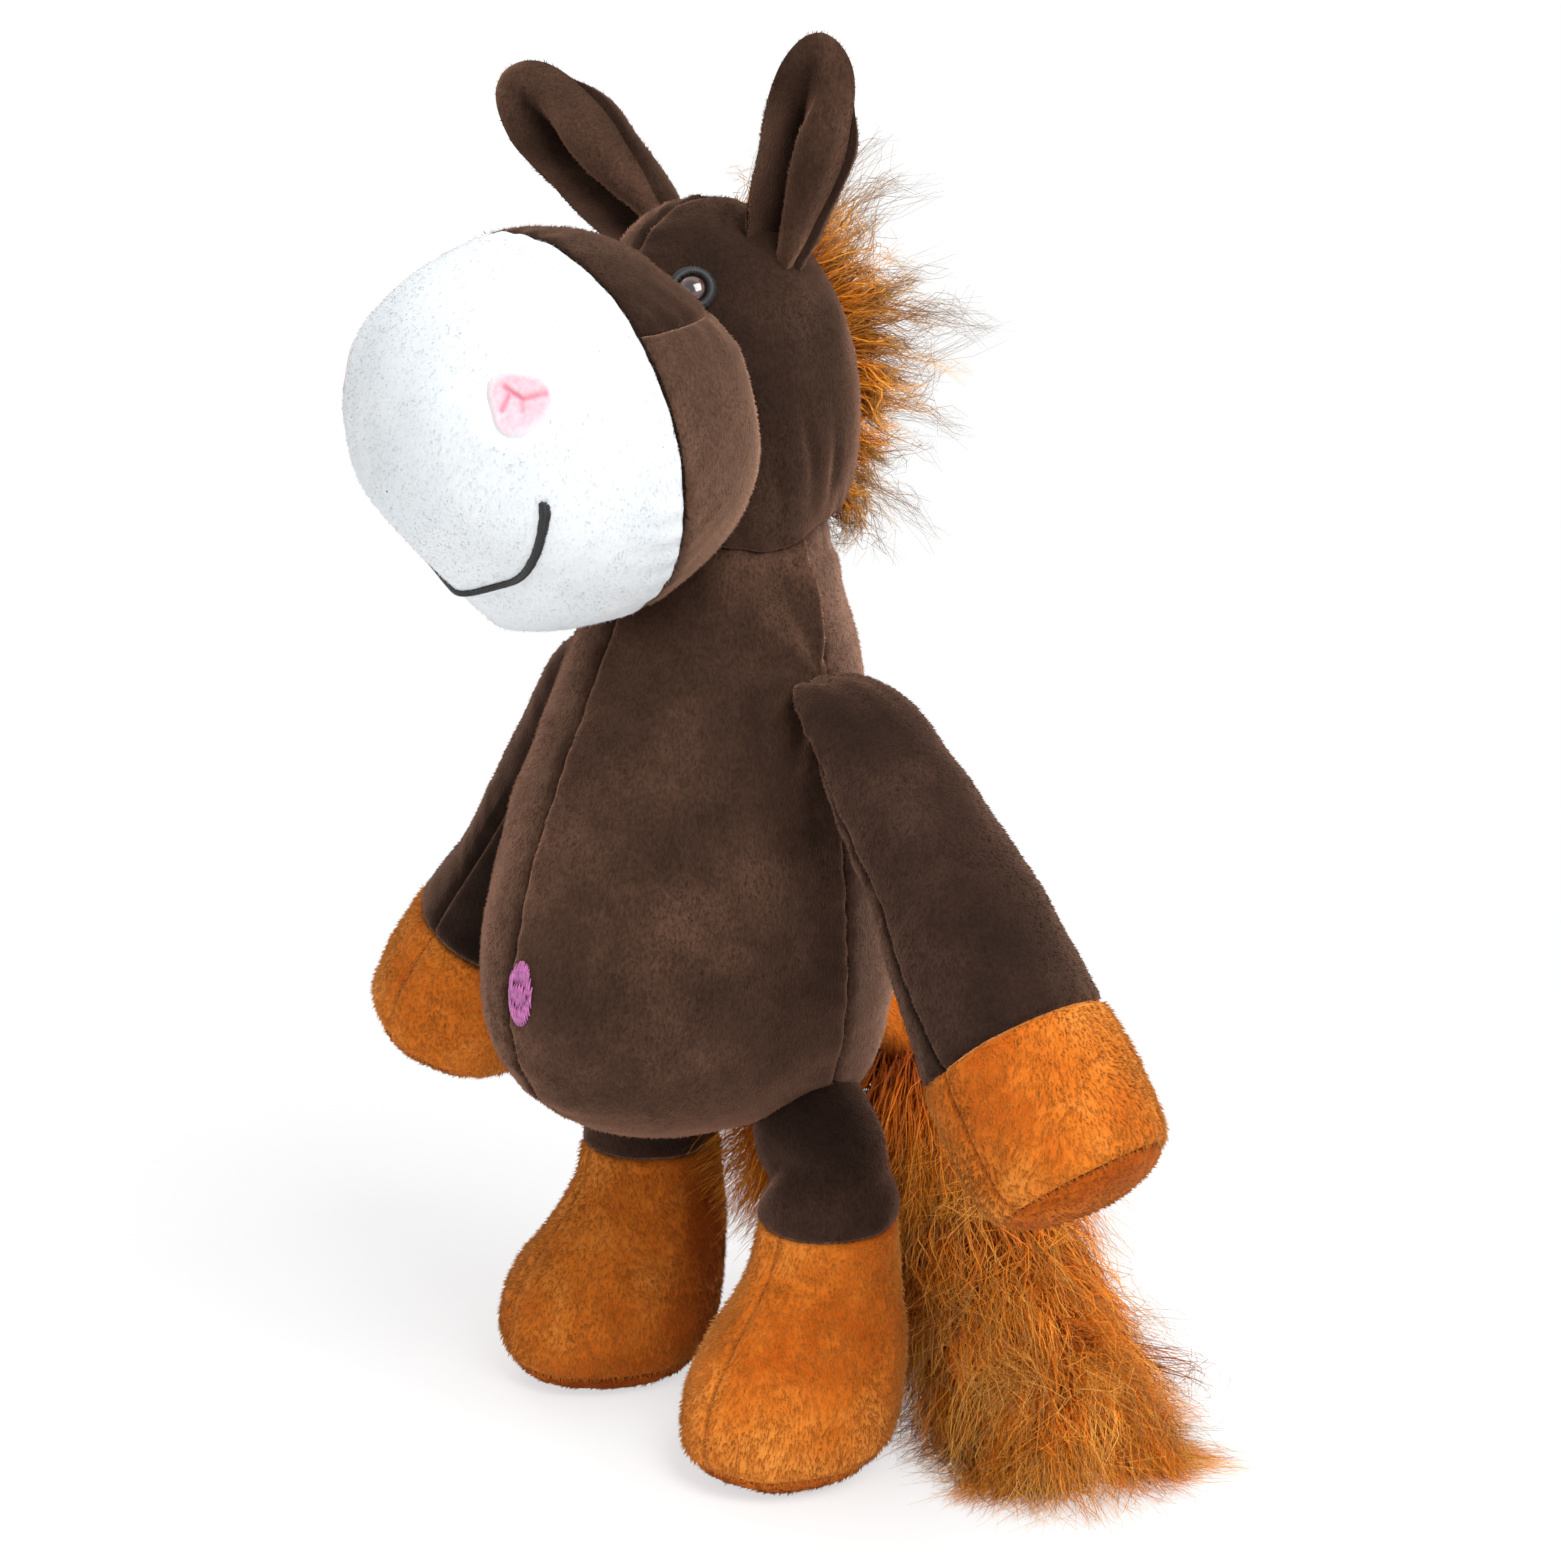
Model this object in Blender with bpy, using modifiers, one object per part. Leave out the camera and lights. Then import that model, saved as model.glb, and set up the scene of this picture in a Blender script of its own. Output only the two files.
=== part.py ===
# Plush horse: a stuffed toy sewn from short brown and orange plush, with a white muzzle and long fur mane and tail.
# It faces -Y, its left side is +X, and it stands on the plane z = 0. Dimensions are in millimetres.
import math

import bmesh
import bpy
from mathutils import Matrix, Vector

MM = 0.001

# Cloth, seams and clearances
CLOTH = 2.0
SEAM_GAP = 0.3
SEAM_GROOVE = 0.9
FILL_GAP = 0.35
CLEARANCE = 0.5

# Torso: sections as (height, centre Y, half width, half depth)
TORSO_LOW, TORSO_HIGH = (79.3, -2), (226, 6.5)
TORSO_RINGS = (
    (82.5, -2, 21, 29),
    (94, -3.6, 33.5, 45.5),
    (112, -4.3, 38.2, 52),
    (136, -3.1, 37.7, 49),
    (162, -0.2, 34.6, 41.5),
    (186, 2.4, 30.6, 32.8),
    (205, 5.3, 24.8, 25.2),
    (219, 6.5, 21.5, 21.5),
)
TORSO_SIDES = 10
SIDE_SEAM_Y = 11
NECK_RIM_FRONT, NECK_RIM_BACK = (-19, 198), (28.5, 213)
NAVEL = {"x": 5.0, "z": 121, "width": 8, "height": 14, "depth": 1.2}

# Neck joint: a firm ball of fill that the torso and the head both seat on
NECK = Vector((0, 7.5, 215))
NECK_BALL, NECK_SEAT = 16.4, 17.4
HEAD_RIM_FRONT, HEAD_RIM_BACK = (-18, 215), (30.8, 218.5)

# Head: sections as for the torso
HEAD_LOW, HEAD_HIGH = (203, 6.5), (285.6, 0.5)
HEAD_RINGS = (
    (207, 6.5, 19, 19),
    (219, 5.8, 26.6, 27.3),
    (233, 4.8, 30.2, 31.2),
    (248, 4.3, 29.6, 31),
    (262, 3.6, 25.9, 27.7),
    (274, 2.4, 18.8, 20.6),
    (281.8, 1, 10.4, 12.6),
)
HEAD_SIDES = 10

# Muzzle: a ball whose axis points forward and down
MUZZLE = Vector((0, -39.5, 240))
MUZZLE_RADIUS = 42
MUZZLE_DROP = 11
MUZZLE_SIDES = 10
# Sections along that axis as (distance from the ball's centre, radius); the back is flattened against the head
MUZZLE_RINGS = (
    (-25.2, 12),
    (-24.9, 24.5),
    (-21.6, 33.6),
    (-12, 40.2),
    (1, 42.3),
    (14, 40),
    (26, 33.6),
    (35.5, 23.5),
    (40.6, 12),
)
MUZZLE_BACK, MUZZLE_FRONT = -25.2, 42.6
THROAT = 17
WHITE_SEAM_BACK = 1.5
SLEEVE_SEAM = {"height": 24.0, "slope": 9}

# Trim on the muzzle, as azimuth from straight ahead and elevation, in degrees
NOSTRIL = {"azimuth": 44, "elevation": 17, "width": 12.5, "height": 11.5, "depth": 1.1}
MOUTH_HALF = ((0, -48), (18, -46), (33, -41), (42, -35.5), (48, -26), (51, -15), (51, -9))
MOUTH_THREAD = 0.9

# Eyes
EYE = Vector((15.6, -14.9, 267.8))
EYE_NORMAL = Vector((0.59, -0.61, 0.52))
EYE_RADIUS = 2.8
EYE_RISE = 1.9
EYE_SHANK, EYE_SHANK_LENGTH = 1.0, 6.2
EYE_SEAT, EYE_SEAT_DEPTH = 5.2, 0.9
RING_RADIUS, RING_THREAD = 4.05, 0.62
WASHER_RADIUS, WASHER_THICK = 3.9, 0.9

# Ears: length, width and cup of the leaf, with its root, lean outward, turn outward and lean forward
EAR_LENGTH, EAR_WIDTH, EAR_CUP, EAR_CLOTH = 60, 26, 0.55, 1.5
CROWN_SLANT, EAR_STANDOFF = 46, 1.6
EARS = {
    "left": {"side": 1, "root": Vector((16.5, 7.0, 273.5)), "lean": 17, "turn": 22, "forward": 3, "bend": (-12, 20)},
    "right": {"side": -1, "root": Vector((-16.0, 0.5, 275.0)), "lean": 54, "turn": 12, "forward": 6, "bend": (-20, 8)},
}

# Arms: sections as (distance from the shoulder seam, offset outward, half thickness, half width)
ARM_RINGS = (
    (1.2, 1.6, 1.9, 11.5),
    (9, 3.6, 9.2, 13.2),
    (28, 3.2, 13.8, 14.0),
    (58, 1.0, 15.9, 15.6),
    (91, 0, 20.5, 20.3),
    (112, 0, 21.4, 21.4),
    (122, 0, 18.9, 18.9),
)
ARM_ENDS = (0.4, 125.5)
ARM_SIDES = 8
CUFF_AT, ARM_SOLE_AT = 88, 119.5
FILL_TOP = 9
ARM_SEAM_OFFSET = -2.0
ARMS = {
    "left": {"side": 1, "shoulder": Vector((33.0, 7.5, 184.5)), "out": 44, "forward": 3, "lift": (-22, 50)},
    "right": {"side": -1, "shoulder": Vector((-33.0, 7.5, 184.5)), "out": 26.5, "forward": 9.5, "lift": (-4, 68)},
}

# Legs: sections as (height, centre Y from the hip, half width, half depth)
FLOOR = 6.5
HIP = Vector((31.5, 10, 86))
LEG_RADIUS = 14.2
LEG_RINGS = (
    (FLOOR + 0.2, -12.4, 17.5, 21.5),
    (FLOOR + 9, -12.4, 22.6, 26.6),
    (FLOOR + 24, -10.8, 22.2, 26.0),
    (FLOOR + 39, -5.2, 18.8, 20.8),
    (FLOOR + 56, -0.3, 14.6, 15.0),
    (HIP.z, 0, LEG_RADIUS, LEG_RADIUS),
    (HIP.z + 9.4, 0, LEG_RADIUS * 0.72, LEG_RADIUS * 0.72),
)
LEG_LOW, LEG_TOP = FLOOR - 2.6, HIP.z + LEG_RADIUS
LEG_SIDES = 8
BOOT_TOP, BOOT_SOLE = FLOOR + 55.5, FLOOR + 10
LEG_SWING = (-8, 35)
LEGS = {"left": {"side": 1, "toe_out": 2}, "right": {"side": -1, "toe_out": 15}}

# Tail: a plush stub, then long fur that swings to the horse's left and lies on the floor
TAIL_HINGE = Vector((0, 46.5, 93))
TAIL_STUB = ((0, 0, 0, 8.8), (1.5, 7, -3, 9.0), (6, 13, -9, 9.0), (13, 16, -17, 8.2), (17, 16.5, -21, 7.0))
TAIL_FUR = (
    (-2.0, -0.3, 2.6, 9.0),
    (8, 0, -8, 15),
    (22, -3, -25, 21),
    (38, -5.5, -42, 24.8),
    (54, -8.5, -49.5, 23.4),
    (68, -12, -55, 15.5),
    (77, -14, -59, 7.5),
)
TAIL_SIDES, TAIL_LOCKS, LOCK_DEPTH = 8, 3, 0.12
TAIL_LIFT = (0, 60)

# Mane: a woven backing on the head's centre line and the fur standing on it
STRIP_HALF, STRIP_THICK, STRIP_FRONT_Y = 5.5, 1.2, -4
MANE_STEPS, MANE_FROM, MANE_TO = 9, -12, 112
MANE_REACH = (13, 27, 34, 32, 30, 31, 33, 30, 24)
MANE_HALF = 6.5

# Middle of the bounding box on the floor
MIDDLE = Vector((13.1, 0.3, FLOOR))

BROWN, HEAD_BROWN, PALE_BROWN = (0.30, 0.215, 0.18), (0.24, 0.175, 0.15), (0.37, 0.27, 0.23)
ORANGE, DEEP_ORANGE = (0.78, 0.41, 0.13), (0.70, 0.35, 0.09)
WHITE, PINK, MAGENTA, BLACK = (0.93, 0.95, 0.96), (0.96, 0.74, 0.78), (0.68, 0.36, 0.62), (0.07, 0.07, 0.08)
FUR_GOLD, BACKING, FILL, PLASTIC, WASHER = (
    (0.76, 0.46, 0.13),
    (0.45, 0.30, 0.16),
    (0.90, 0.89, 0.86),
    (0.30, 0.19, 0.15),
    (0.85, 0.86, 0.88),
)


def clear_scene():
    for obj in list(bpy.data.objects):
        bpy.data.objects.remove(obj, do_unlink=True)


def collection(name):
    made = bpy.data.collections.new(name)
    bpy.context.scene.collection.children.link(made)
    return made


def linear(channel):
    return channel / 12.92 if channel <= 0.04045 else ((channel + 0.055) / 1.055) ** 2.4


def material(name, colour, roughness):
    made = bpy.data.materials.new(name)
    made.use_nodes = True
    shader = made.node_tree.nodes["Principled BSDF"]
    shader.inputs["Base Color"].default_value = (*map(linear, colour), 1)
    shader.inputs["Roughness"].default_value = roughness
    shader.inputs["Metallic"].default_value = 0
    return made


def lofted(name, rings, sides, low, high):
    """A cage of elliptical rings, each (centre, half width, half depth) in millimetres, closed at both ends by a point.
    The rings are widened by what the subdivision takes off a polygon of this many sides."""
    widen = 3 / (2 + math.cos(2 * math.pi / sides))
    mesh = bpy.data.meshes.new(name)
    bm = bmesh.new()
    rows = []
    for centre, wide, deep in rings:
        row = []
        for k in range(sides):
            angle = 2 * math.pi * k / sides
            reach = Vector((wide * math.cos(angle), deep * math.sin(angle), 0)) * widen
            row.append(bm.verts.new((Vector(centre) + reach) * MM))
        rows.append(row)
    foot, top = bm.verts.new(Vector(low) * MM), bm.verts.new(Vector(high) * MM)
    for lower, upper in zip(rows, rows[1:]):
        for k in range(sides):
            n = (k + 1) % sides
            bm.faces.new((lower[k], lower[n], upper[n], upper[k]))
    for k in range(sides):
        n = (k + 1) % sides
        bm.faces.new((foot, rows[0][n], rows[0][k]))
        bm.faces.new((top, rows[-1][k], rows[-1][n]))
    bmesh.ops.recalc_face_normals(bm, faces=bm.faces)
    bm.to_mesh(mesh)
    bm.free()
    mesh.shade_smooth()
    return mesh


def swept(name, path, sides, shape):
    """A cage carried along path, whose points are (x, y, z, radius). shape(ring, angle) scales the radius."""
    widen = 3 / (2 + math.cos(2 * math.pi / sides))
    points = [Vector(p[:3]) for p in path]
    mesh = bpy.data.meshes.new(name)
    bm = bmesh.new()
    rows = []
    for i, (point, step) in enumerate(zip(points, path)):
        along = (points[min(i + 1, len(points) - 1)] - points[max(i - 1, 0)]).normalized()
        across = along.cross(Vector((0, 1, 0))).normalized()
        other = along.cross(across)
        row = []
        for k in range(sides):
            angle = 2 * math.pi * k / sides
            reach = step[3] * widen * shape(i, angle)
            offset = (across * math.cos(angle) + other * math.sin(angle)) * reach
            row.append(bm.verts.new((point + offset) * MM))
        rows.append(row)
    first = points[0] + (points[0] - points[1]).normalized() * path[0][3] * 0.25
    last = points[-1] + (points[-1] - points[-2]).normalized() * path[-1][3] * 0.6
    foot, top = bm.verts.new(first * MM), bm.verts.new(last * MM)
    for lower, upper in zip(rows, rows[1:]):
        for k in range(sides):
            n = (k + 1) % sides
            bm.faces.new((lower[k], lower[n], upper[n], upper[k]))
    for k in range(sides):
        n = (k + 1) % sides
        bm.faces.new((foot, rows[0][n], rows[0][k]))
        bm.faces.new((top, rows[-1][k], rows[-1][n]))
    bmesh.ops.recalc_face_normals(bm, faces=bm.faces)
    bm.to_mesh(mesh)
    bm.free()
    mesh.shade_smooth()
    return mesh


def upright(rings, low, high, name, sides):
    """A lofted cage from sections of (height, centre Y, half width, half depth)."""
    sections = [((0, y, z), wide, deep) for z, y, wide, deep in rings]
    return lofted(name, sections, sides, (0, low[1], low[0]), (0, high[1], high[0]))


def empty(name, matrix):
    made = bpy.data.objects.new(name, None)
    made.matrix_world = matrix
    PARTS.objects.link(made)
    return made


def adopt(obj, parent):
    """Makes obj follow parent without moving it."""
    bpy.context.view_layer.update()
    world = obj.matrix_world.copy()
    obj.parent = parent
    obj.matrix_parent_inverse = parent.matrix_world.inverted()
    obj.matrix_world = world


def piece(name, mesh, colour, roughness, body, place=None):
    obj = bpy.data.objects.new(name, mesh.copy())
    obj.data.materials.append(material(name, colour, roughness))
    PARTS.objects.link(obj)
    obj.matrix_world = place or Matrix()
    adopt(obj, body)
    return obj


def cutter(name, mesh, place=None):
    obj = bpy.data.objects.new(name, mesh)
    obj.display_type = "WIRE"
    obj.hide_render = True
    CUTTERS.objects.link(obj)
    obj.matrix_world = place or Matrix()
    return obj


def block(name, low, high, place=None):
    """A box cutter between two corners, in millimetres."""
    mesh = bpy.data.meshes.new(name)
    bm = bmesh.new()
    bmesh.ops.create_cube(bm, size=1)
    low, high = Vector(low) * MM, Vector(high) * MM
    for vert in bm.verts:
        vert.co = Vector(low[i] + (high[i] - low[i]) * (vert.co[i] + 0.5) for i in range(3))
    bm.to_mesh(mesh)
    bm.free()
    return cutter(name, mesh, place)


def ball(name, centre, radius, segments=14, rows=8):
    mesh = bpy.data.meshes.new(name)
    bm = bmesh.new()
    bmesh.ops.create_uvsphere(bm, u_segments=segments, v_segments=rows, radius=radius * MM)
    bm.to_mesh(mesh)
    bm.free()
    mesh.shade_smooth()
    return cutter(name, mesh, Matrix.Translation(Vector(centre) * MM))


def rod(name, radius, length, place, segments=16):
    """A cylinder cutter along its own Z, from 0 to length."""
    mesh = bpy.data.meshes.new(name)
    bm = bmesh.new()
    middle = Matrix.Translation((0, 0, length * MM / 2))
    bmesh.ops.create_cone(
        bm, cap_ends=True, segments=segments, radius1=radius * MM, radius2=radius * MM, depth=length * MM, matrix=middle
    )
    bm.to_mesh(mesh)
    bm.free()
    return cutter(name, mesh, place)


def soften(obj, levels=1):
    modifier = obj.modifiers.new("soften", "SUBSURF")
    modifier.levels = modifier.render_levels = levels
    return obj


def swell(obj, distance):
    """Moves the surface out along its normals, or in if distance is negative."""
    modifier = obj.modifiers.new("swell", "DISPLACE")
    modifier.strength = distance * MM
    modifier.mid_level = 0
    return obj


def skin(obj, thickness=CLOTH):
    modifier = obj.modifiers.new("cloth", "SOLIDIFY")
    modifier.thickness = thickness * MM
    modifier.offset = -1
    return obj


def boolean(obj, operation, other):
    modifier = obj.modifiers.new(operation.lower(), "BOOLEAN")
    modifier.operation = operation
    modifier.solver = "EXACT"
    modifier.object = other
    return obj


def cut(obj, *others):
    for other in others:
        boolean(obj, "DIFFERENCE", other)
    return obj


def keep(obj, *others):
    for other in others:
        boolean(obj, "INTERSECT", other)
    return obj


def turned_about(point, axis, degrees):
    point = Vector(point) * MM
    turn = Matrix.Rotation(math.radians(degrees), 4, axis)
    return Matrix.Translation(point) @ turn @ Matrix.Translation(-point)


def at_limits(name, form, point, axis, limits):
    """The larger piece as a moving one meets it at the two ends of the joint's range."""
    made = []
    for end, angle in zip(("low", "high"), limits):
        obj = cutter(f"{name}_{end}", form.copy(), turned_about(point, axis, -angle))
        made.append(swell(soften(obj), CLEARANCE))
    return made


def facing(point, normal, spin=0):
    """A place at point whose own Z runs along normal."""
    turn = Vector((0, 0, 1)).rotation_difference(Vector(normal)).to_matrix().to_4x4()
    return Matrix.Translation(Vector(point) * MM) @ turn @ Matrix.Rotation(math.radians(spin), 4, "Z")


def lens(name, width, height, depth, segments=12):
    """A cushion-shaped disc, from z = 0 up to depth, with a rounded edge."""
    mesh = bpy.data.meshes.new(name)
    bm = bmesh.new()
    profile = ((1.0, 0.0), (1.0, 0.45), (0.72, 0.9))
    rows = []
    for share, rise in profile:
        row = []
        for k in range(segments):
            angle = 2 * math.pi * k / segments
            x, y = width / 2 * share * math.cos(angle), height / 2 * share * math.sin(angle)
            row.append(bm.verts.new((x * MM, y * MM, rise * depth * MM)))
        rows.append(row)
    crown = bm.verts.new((0, 0, depth * MM))
    for lower, upper in zip(rows, rows[1:]):
        for k in range(segments):
            n = (k + 1) % segments
            bm.faces.new((lower[k], lower[n], upper[n], upper[k]))
    for k in range(segments):
        bm.faces.new((crown, rows[-1][k], rows[-1][(k + 1) % segments]))
    bm.faces.new(tuple(reversed(rows[0])))
    bm.to_mesh(mesh)
    bm.free()
    mesh.shade_smooth()
    return mesh


def turned(name, profile, steps):
    """A turned solid about Z. The profile runs from the top down, as (radius, height), and ends on the axis."""
    mesh = bpy.data.meshes.new(name)
    bm = bmesh.new()
    closed = profile[0] == profile[-1]
    verts = [bm.verts.new((r * MM, 0, z * MM)) for r, z in (profile[:-1] if closed else profile)]
    for a, b in zip(verts, verts[1:] + verts[:1] if closed else verts[1:]):
        bm.edges.new((a, b))
    bm.to_mesh(mesh)
    bm.free()
    obj = bpy.data.objects.new(name, mesh)
    modifier = obj.modifiers.new("turn", "SCREW")
    modifier.steps = modifier.render_steps = steps
    modifier.use_merge_vertices = True
    modifier.merge_threshold = 0.00001
    return obj


def tube_mesh(name, points, radius, closed, resolution):
    """A thread along points, made a mesh so that it can be one solid."""
    curve = bpy.data.curves.new(name, "CURVE")
    curve.dimensions = "3D"
    curve.bevel_depth = radius * MM
    curve.bevel_resolution = resolution
    curve.use_fill_caps = not closed
    spline = curve.splines.new("POLY")
    spline.points.add(len(points) - 1)
    for point, place in zip(spline.points, points):
        point.co = (*(Vector(place) * MM), 1)
    spline.use_cyclic_u = closed
    guide = bpy.data.objects.new(name, curve)
    CUTTERS.objects.link(guide)
    bpy.context.view_layer.update()
    mesh = bpy.data.meshes.new_from_object(guide.evaluated_get(bpy.context.evaluated_depsgraph_get()))
    bpy.data.objects.remove(guide)
    bm = bmesh.new()
    bm.from_mesh(mesh)
    bmesh.ops.remove_doubles(bm, verts=bm.verts, dist=0.00001)
    bmesh.ops.recalc_face_normals(bm, faces=bm.faces)
    bm.to_mesh(mesh)
    bm.free()
    mesh.name = name
    mesh.shade_smooth()
    return mesh


def smooth_surface(form):
    """The subdivided form as a plain mesh."""
    obj = soften(bpy.data.objects.new("surface", form))
    CUTTERS.objects.link(obj)
    bpy.context.view_layer.update()
    mesh = bpy.data.meshes.new_from_object(obj.evaluated_get(bpy.context.evaluated_depsgraph_get()))
    bpy.data.objects.remove(obj)
    return mesh


def cloth(name, surface, edges, colour, body, place=None):
    """A panel cut from a surface along planes, each a point and the direction of what is cut off, then thickened."""
    bm = bmesh.new()
    bm.from_mesh(surface)
    for point, off in edges:
        everything = bm.verts[:] + bm.edges[:] + bm.faces[:]
        bmesh.ops.bisect_plane(
            bm, geom=everything, dist=1e-7, plane_co=Vector(point) * MM, plane_no=Vector(off), clear_outer=True
        )
    mesh = bpy.data.meshes.new(name)
    bm.to_mesh(mesh)
    bm.free()
    mesh.shade_smooth()
    return skin(piece(name, mesh, colour, 0.95, body, place))


def slanted(front, back, lift=0):
    """The point and upward normal of a plane through two (Y, Z) points, lifted along that normal."""
    along = Vector((0, back[0] - front[0], back[1] - front[1])).normalized()
    normal = Vector((0, -along.z, along.y))
    return Vector((0, *front)) + normal * lift, normal


def beyond(name, point, normal):
    """A large block on the side of a plane that its normal points to."""
    return block(name, (-150, -150, 0), (150, 150, 150), facing(point, normal))


def torso(body):
    """Two front panels and a back panel round one core of fill."""
    form = upright(TORSO_RINGS, TORSO_LOW, TORSO_HIGH, "torso_form", TORSO_SIDES)
    surface = smooth_surface(form)
    half = SEAM_GROOVE / 2
    rim = slanted(NECK_RIM_FRONT, NECK_RIM_BACK)
    before_side = ((0, SIDE_SEAM_Y - half, 0), (0, 1, 0))
    behind_side = ((0, SIDE_SEAM_Y + half, 0), (0, -1, 0))
    panels = {
        "left": cloth("torso_left_panel", surface, (rim, before_side, ((half, 0, 0), (-1, 0, 0))), BROWN, body),
        "right": cloth("torso_right_panel", surface, (rim, before_side, ((-half, 0, 0), (1, 0, 0))), BROWN, body),
        "back": cloth("torso_back_panel", surface, (rim, behind_side), PALE_BROWN, body),
    }
    fill = swell(soften(piece("torso_stuffing", form, FILL, 1.0, body)), -CLOTH - FILL_GAP)
    cut(fill, beyond("above_neck_fill", *slanted(NECK_RIM_FRONT, NECK_RIM_BACK, -0.4)))
    cut(fill, ball("neck_seat", NECK, NECK_SEAT))
    navel(panels["left"], body)
    pockets = hip_pockets(-LEG_SWING[0], LEG_SWING[1])
    for obj in (*panels.values(), fill):
        cut(obj, pockets)
    return form


def navel(panel, body):
    """A satin-stitched oval let into the left front panel, beside the seam."""
    depth = NAVEL["depth"]
    surface = torso_front(NAVEL["z"], NAVEL["x"])
    normal = Vector((0.17, -1, 0.0)).normalized()
    floor = facing(surface - normal * (depth + 0.15), normal)
    oval = lens("navel_form", NAVEL["width"], NAVEL["height"], depth + 0.5)
    seat = lens("navel_seat", NAVEL["width"] + 2 * SEAM_GAP, NAVEL["height"] + 2 * SEAM_GAP, 8)
    lowered = floor @ Matrix.Translation((0, 0, -SEAM_GAP * MM))
    cut(panel, cutter("navel_seat", seat, lowered))
    piece("navel_embroidery", oval, MAGENTA, 0.5, body, floor)


def torso_front(height, x):
    """The torso's front surface at a height, from the two sections beside it."""
    for low, high in zip(TORSO_RINGS, TORSO_RINGS[1:]):
        if low[0] <= height <= high[0]:
            t = (height - low[0]) / (high[0] - low[0])
            y, wide, deep = (a + (b - a) * t for a, b in zip(low[1:], high[1:]))
            return Vector((x, y - deep * math.sqrt(1 - (x / wide) ** 2), height))
    raise ValueError(height)


def neck(body):
    """The ball of fill on which the head nods and turns."""
    mesh = bpy.data.meshes.new("neck_wad")
    bm = bmesh.new()
    bmesh.ops.create_uvsphere(bm, u_segments=14, v_segments=8, radius=NECK_BALL * MM)
    bm.to_mesh(mesh)
    bm.free()
    mesh.shade_smooth()
    piece("neck_wad", mesh, BROWN, 1.0, body, Matrix.Translation(NECK * MM))


def head_form():
    return upright(HEAD_RINGS, HEAD_LOW, HEAD_HIGH, "head_form", HEAD_SIDES)


def head(body, form):
    """Two side panels round the fill, open below for the neck and in front for the muzzle."""
    surface = smooth_surface(form)
    half = SEAM_GROOVE / 2
    rim_point, rim_up = slanted(HEAD_RIM_FRONT, HEAD_RIM_BACK)
    below = (rim_point, -rim_up)
    forward = muzzle_axes().to_3x3() @ Vector((0, 0, 1))
    join = MUZZLE + forward * (MUZZLE_BACK - 2 * SEAM_GAP)
    panels = {}
    for name, side in (("left", 1), ("right", -1)):
        edges = (below, (join, forward), ((side * half, 0, 0), (-side, 0, 0)))
        panels[name] = cloth(f"head_{name}_panel", surface, edges, HEAD_BROWN, body)
    fill = swell(soften(piece("head_stuffing", form, FILL, 1.0, body)), -CLOTH - FILL_GAP)
    cut(fill, beyond("under_head", rim_point + rim_up * 0.4, -rim_up))
    cut(fill, beyond("before_head", join - forward * 0.4, forward))
    cut(fill, ball("head_seat", NECK, NECK_SEAT))
    for name, side in (("left", 1), ("right", -1)):
        eye(name, side, panels[name], fill, body)


def eye(name, side, panel, fill, body):
    """A domed plastic eye on a shank, its lock washer inside, and the stitched ring round it."""
    point = Vector((side * EYE.x, EYE.y, EYE.z))
    normal = Vector((side * EYE_NORMAL.x, EYE_NORMAL.y, EYE_NORMAL.z)).normalized()
    floor = point - normal * EYE_SEAT_DEPTH
    outward = facing(floor, normal)
    inward = facing(floor, -normal)
    seat = rod(f"eye_seat_{name}", EYE_SEAT, 8, outward, 16)
    hole = rod(f"eye_hole_{name}", EYE_SHANK + SEAM_GAP, 12, inward, 8)
    lock = facing(floor - normal * (CLOTH + 2.4), normal)
    room = rod(f"washer_room_{name}", WASHER_RADIUS + 0.7, 9, lock, 10)
    cut(panel, seat, hole)
    cut(fill, room, hole)
    rise = EYE_RISE
    dome = [(EYE_RADIUS * math.sin(a), SEAM_GAP + rise * (math.cos(a) + 0.35) / 1.35) for a in arc(0, 105, 5)]
    dome[0] = (0, dome[0][1])
    base = [(EYE_RADIUS * 0.97, SEAM_GAP), (EYE_SHANK, SEAM_GAP), (EYE_SHANK, -EYE_SHANK_LENGTH), (0, -EYE_SHANK_LENGTH)]
    finish_turned(turned(f"eye_{name}", dome + base, 12), PLASTIC, 0.12, body, outward)
    low = -(CLOTH + 2.1)
    high = low + WASHER_THICK
    inner = EYE_SHANK + 0.25
    washer = [(inner, high), (WASHER_RADIUS, high), (WASHER_RADIUS, low), (inner, low), (inner, high)]
    finish_turned(turned(f"eye_washer_{name}", washer, 10), WASHER, 0.4, body, outward)
    circle = [(RING_RADIUS * math.cos(a), RING_RADIUS * math.sin(a), 0) for a in arc(0, 337.5, 16)]
    ring = tube_mesh(f"eye_ring_{name}", circle, RING_THREAD, True, 0)
    lift = outward @ Matrix.Translation((0, 0, (RING_THREAD + SEAM_GAP) * MM))
    piece(f"eye_ring_{name}", ring, BLACK, 0.55, body, lift)


def arc(start, end, count):
    return [math.radians(start + (end - start) * k / (count - 1)) for k in range(count)]


def finish_turned(obj, colour, roughness, body, place):
    obj.data.materials.append(material(obj.name, colour, roughness))
    PARTS.objects.link(obj)
    obj.matrix_world = place
    adopt(obj, body)
    return obj


def muzzle_axes():
    """The muzzle's own frame: Z runs forward along its axis and Y runs up."""
    drop = math.radians(MUZZLE_DROP)
    forward = Vector((0, -math.cos(drop), -math.sin(drop)))
    up = Vector((0, -math.sin(drop), math.cos(drop)))
    side = up.cross(forward)
    turn = Matrix((side, up, forward)).transposed().to_4x4()
    return Matrix.Translation(MUZZLE * MM) @ turn


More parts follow.
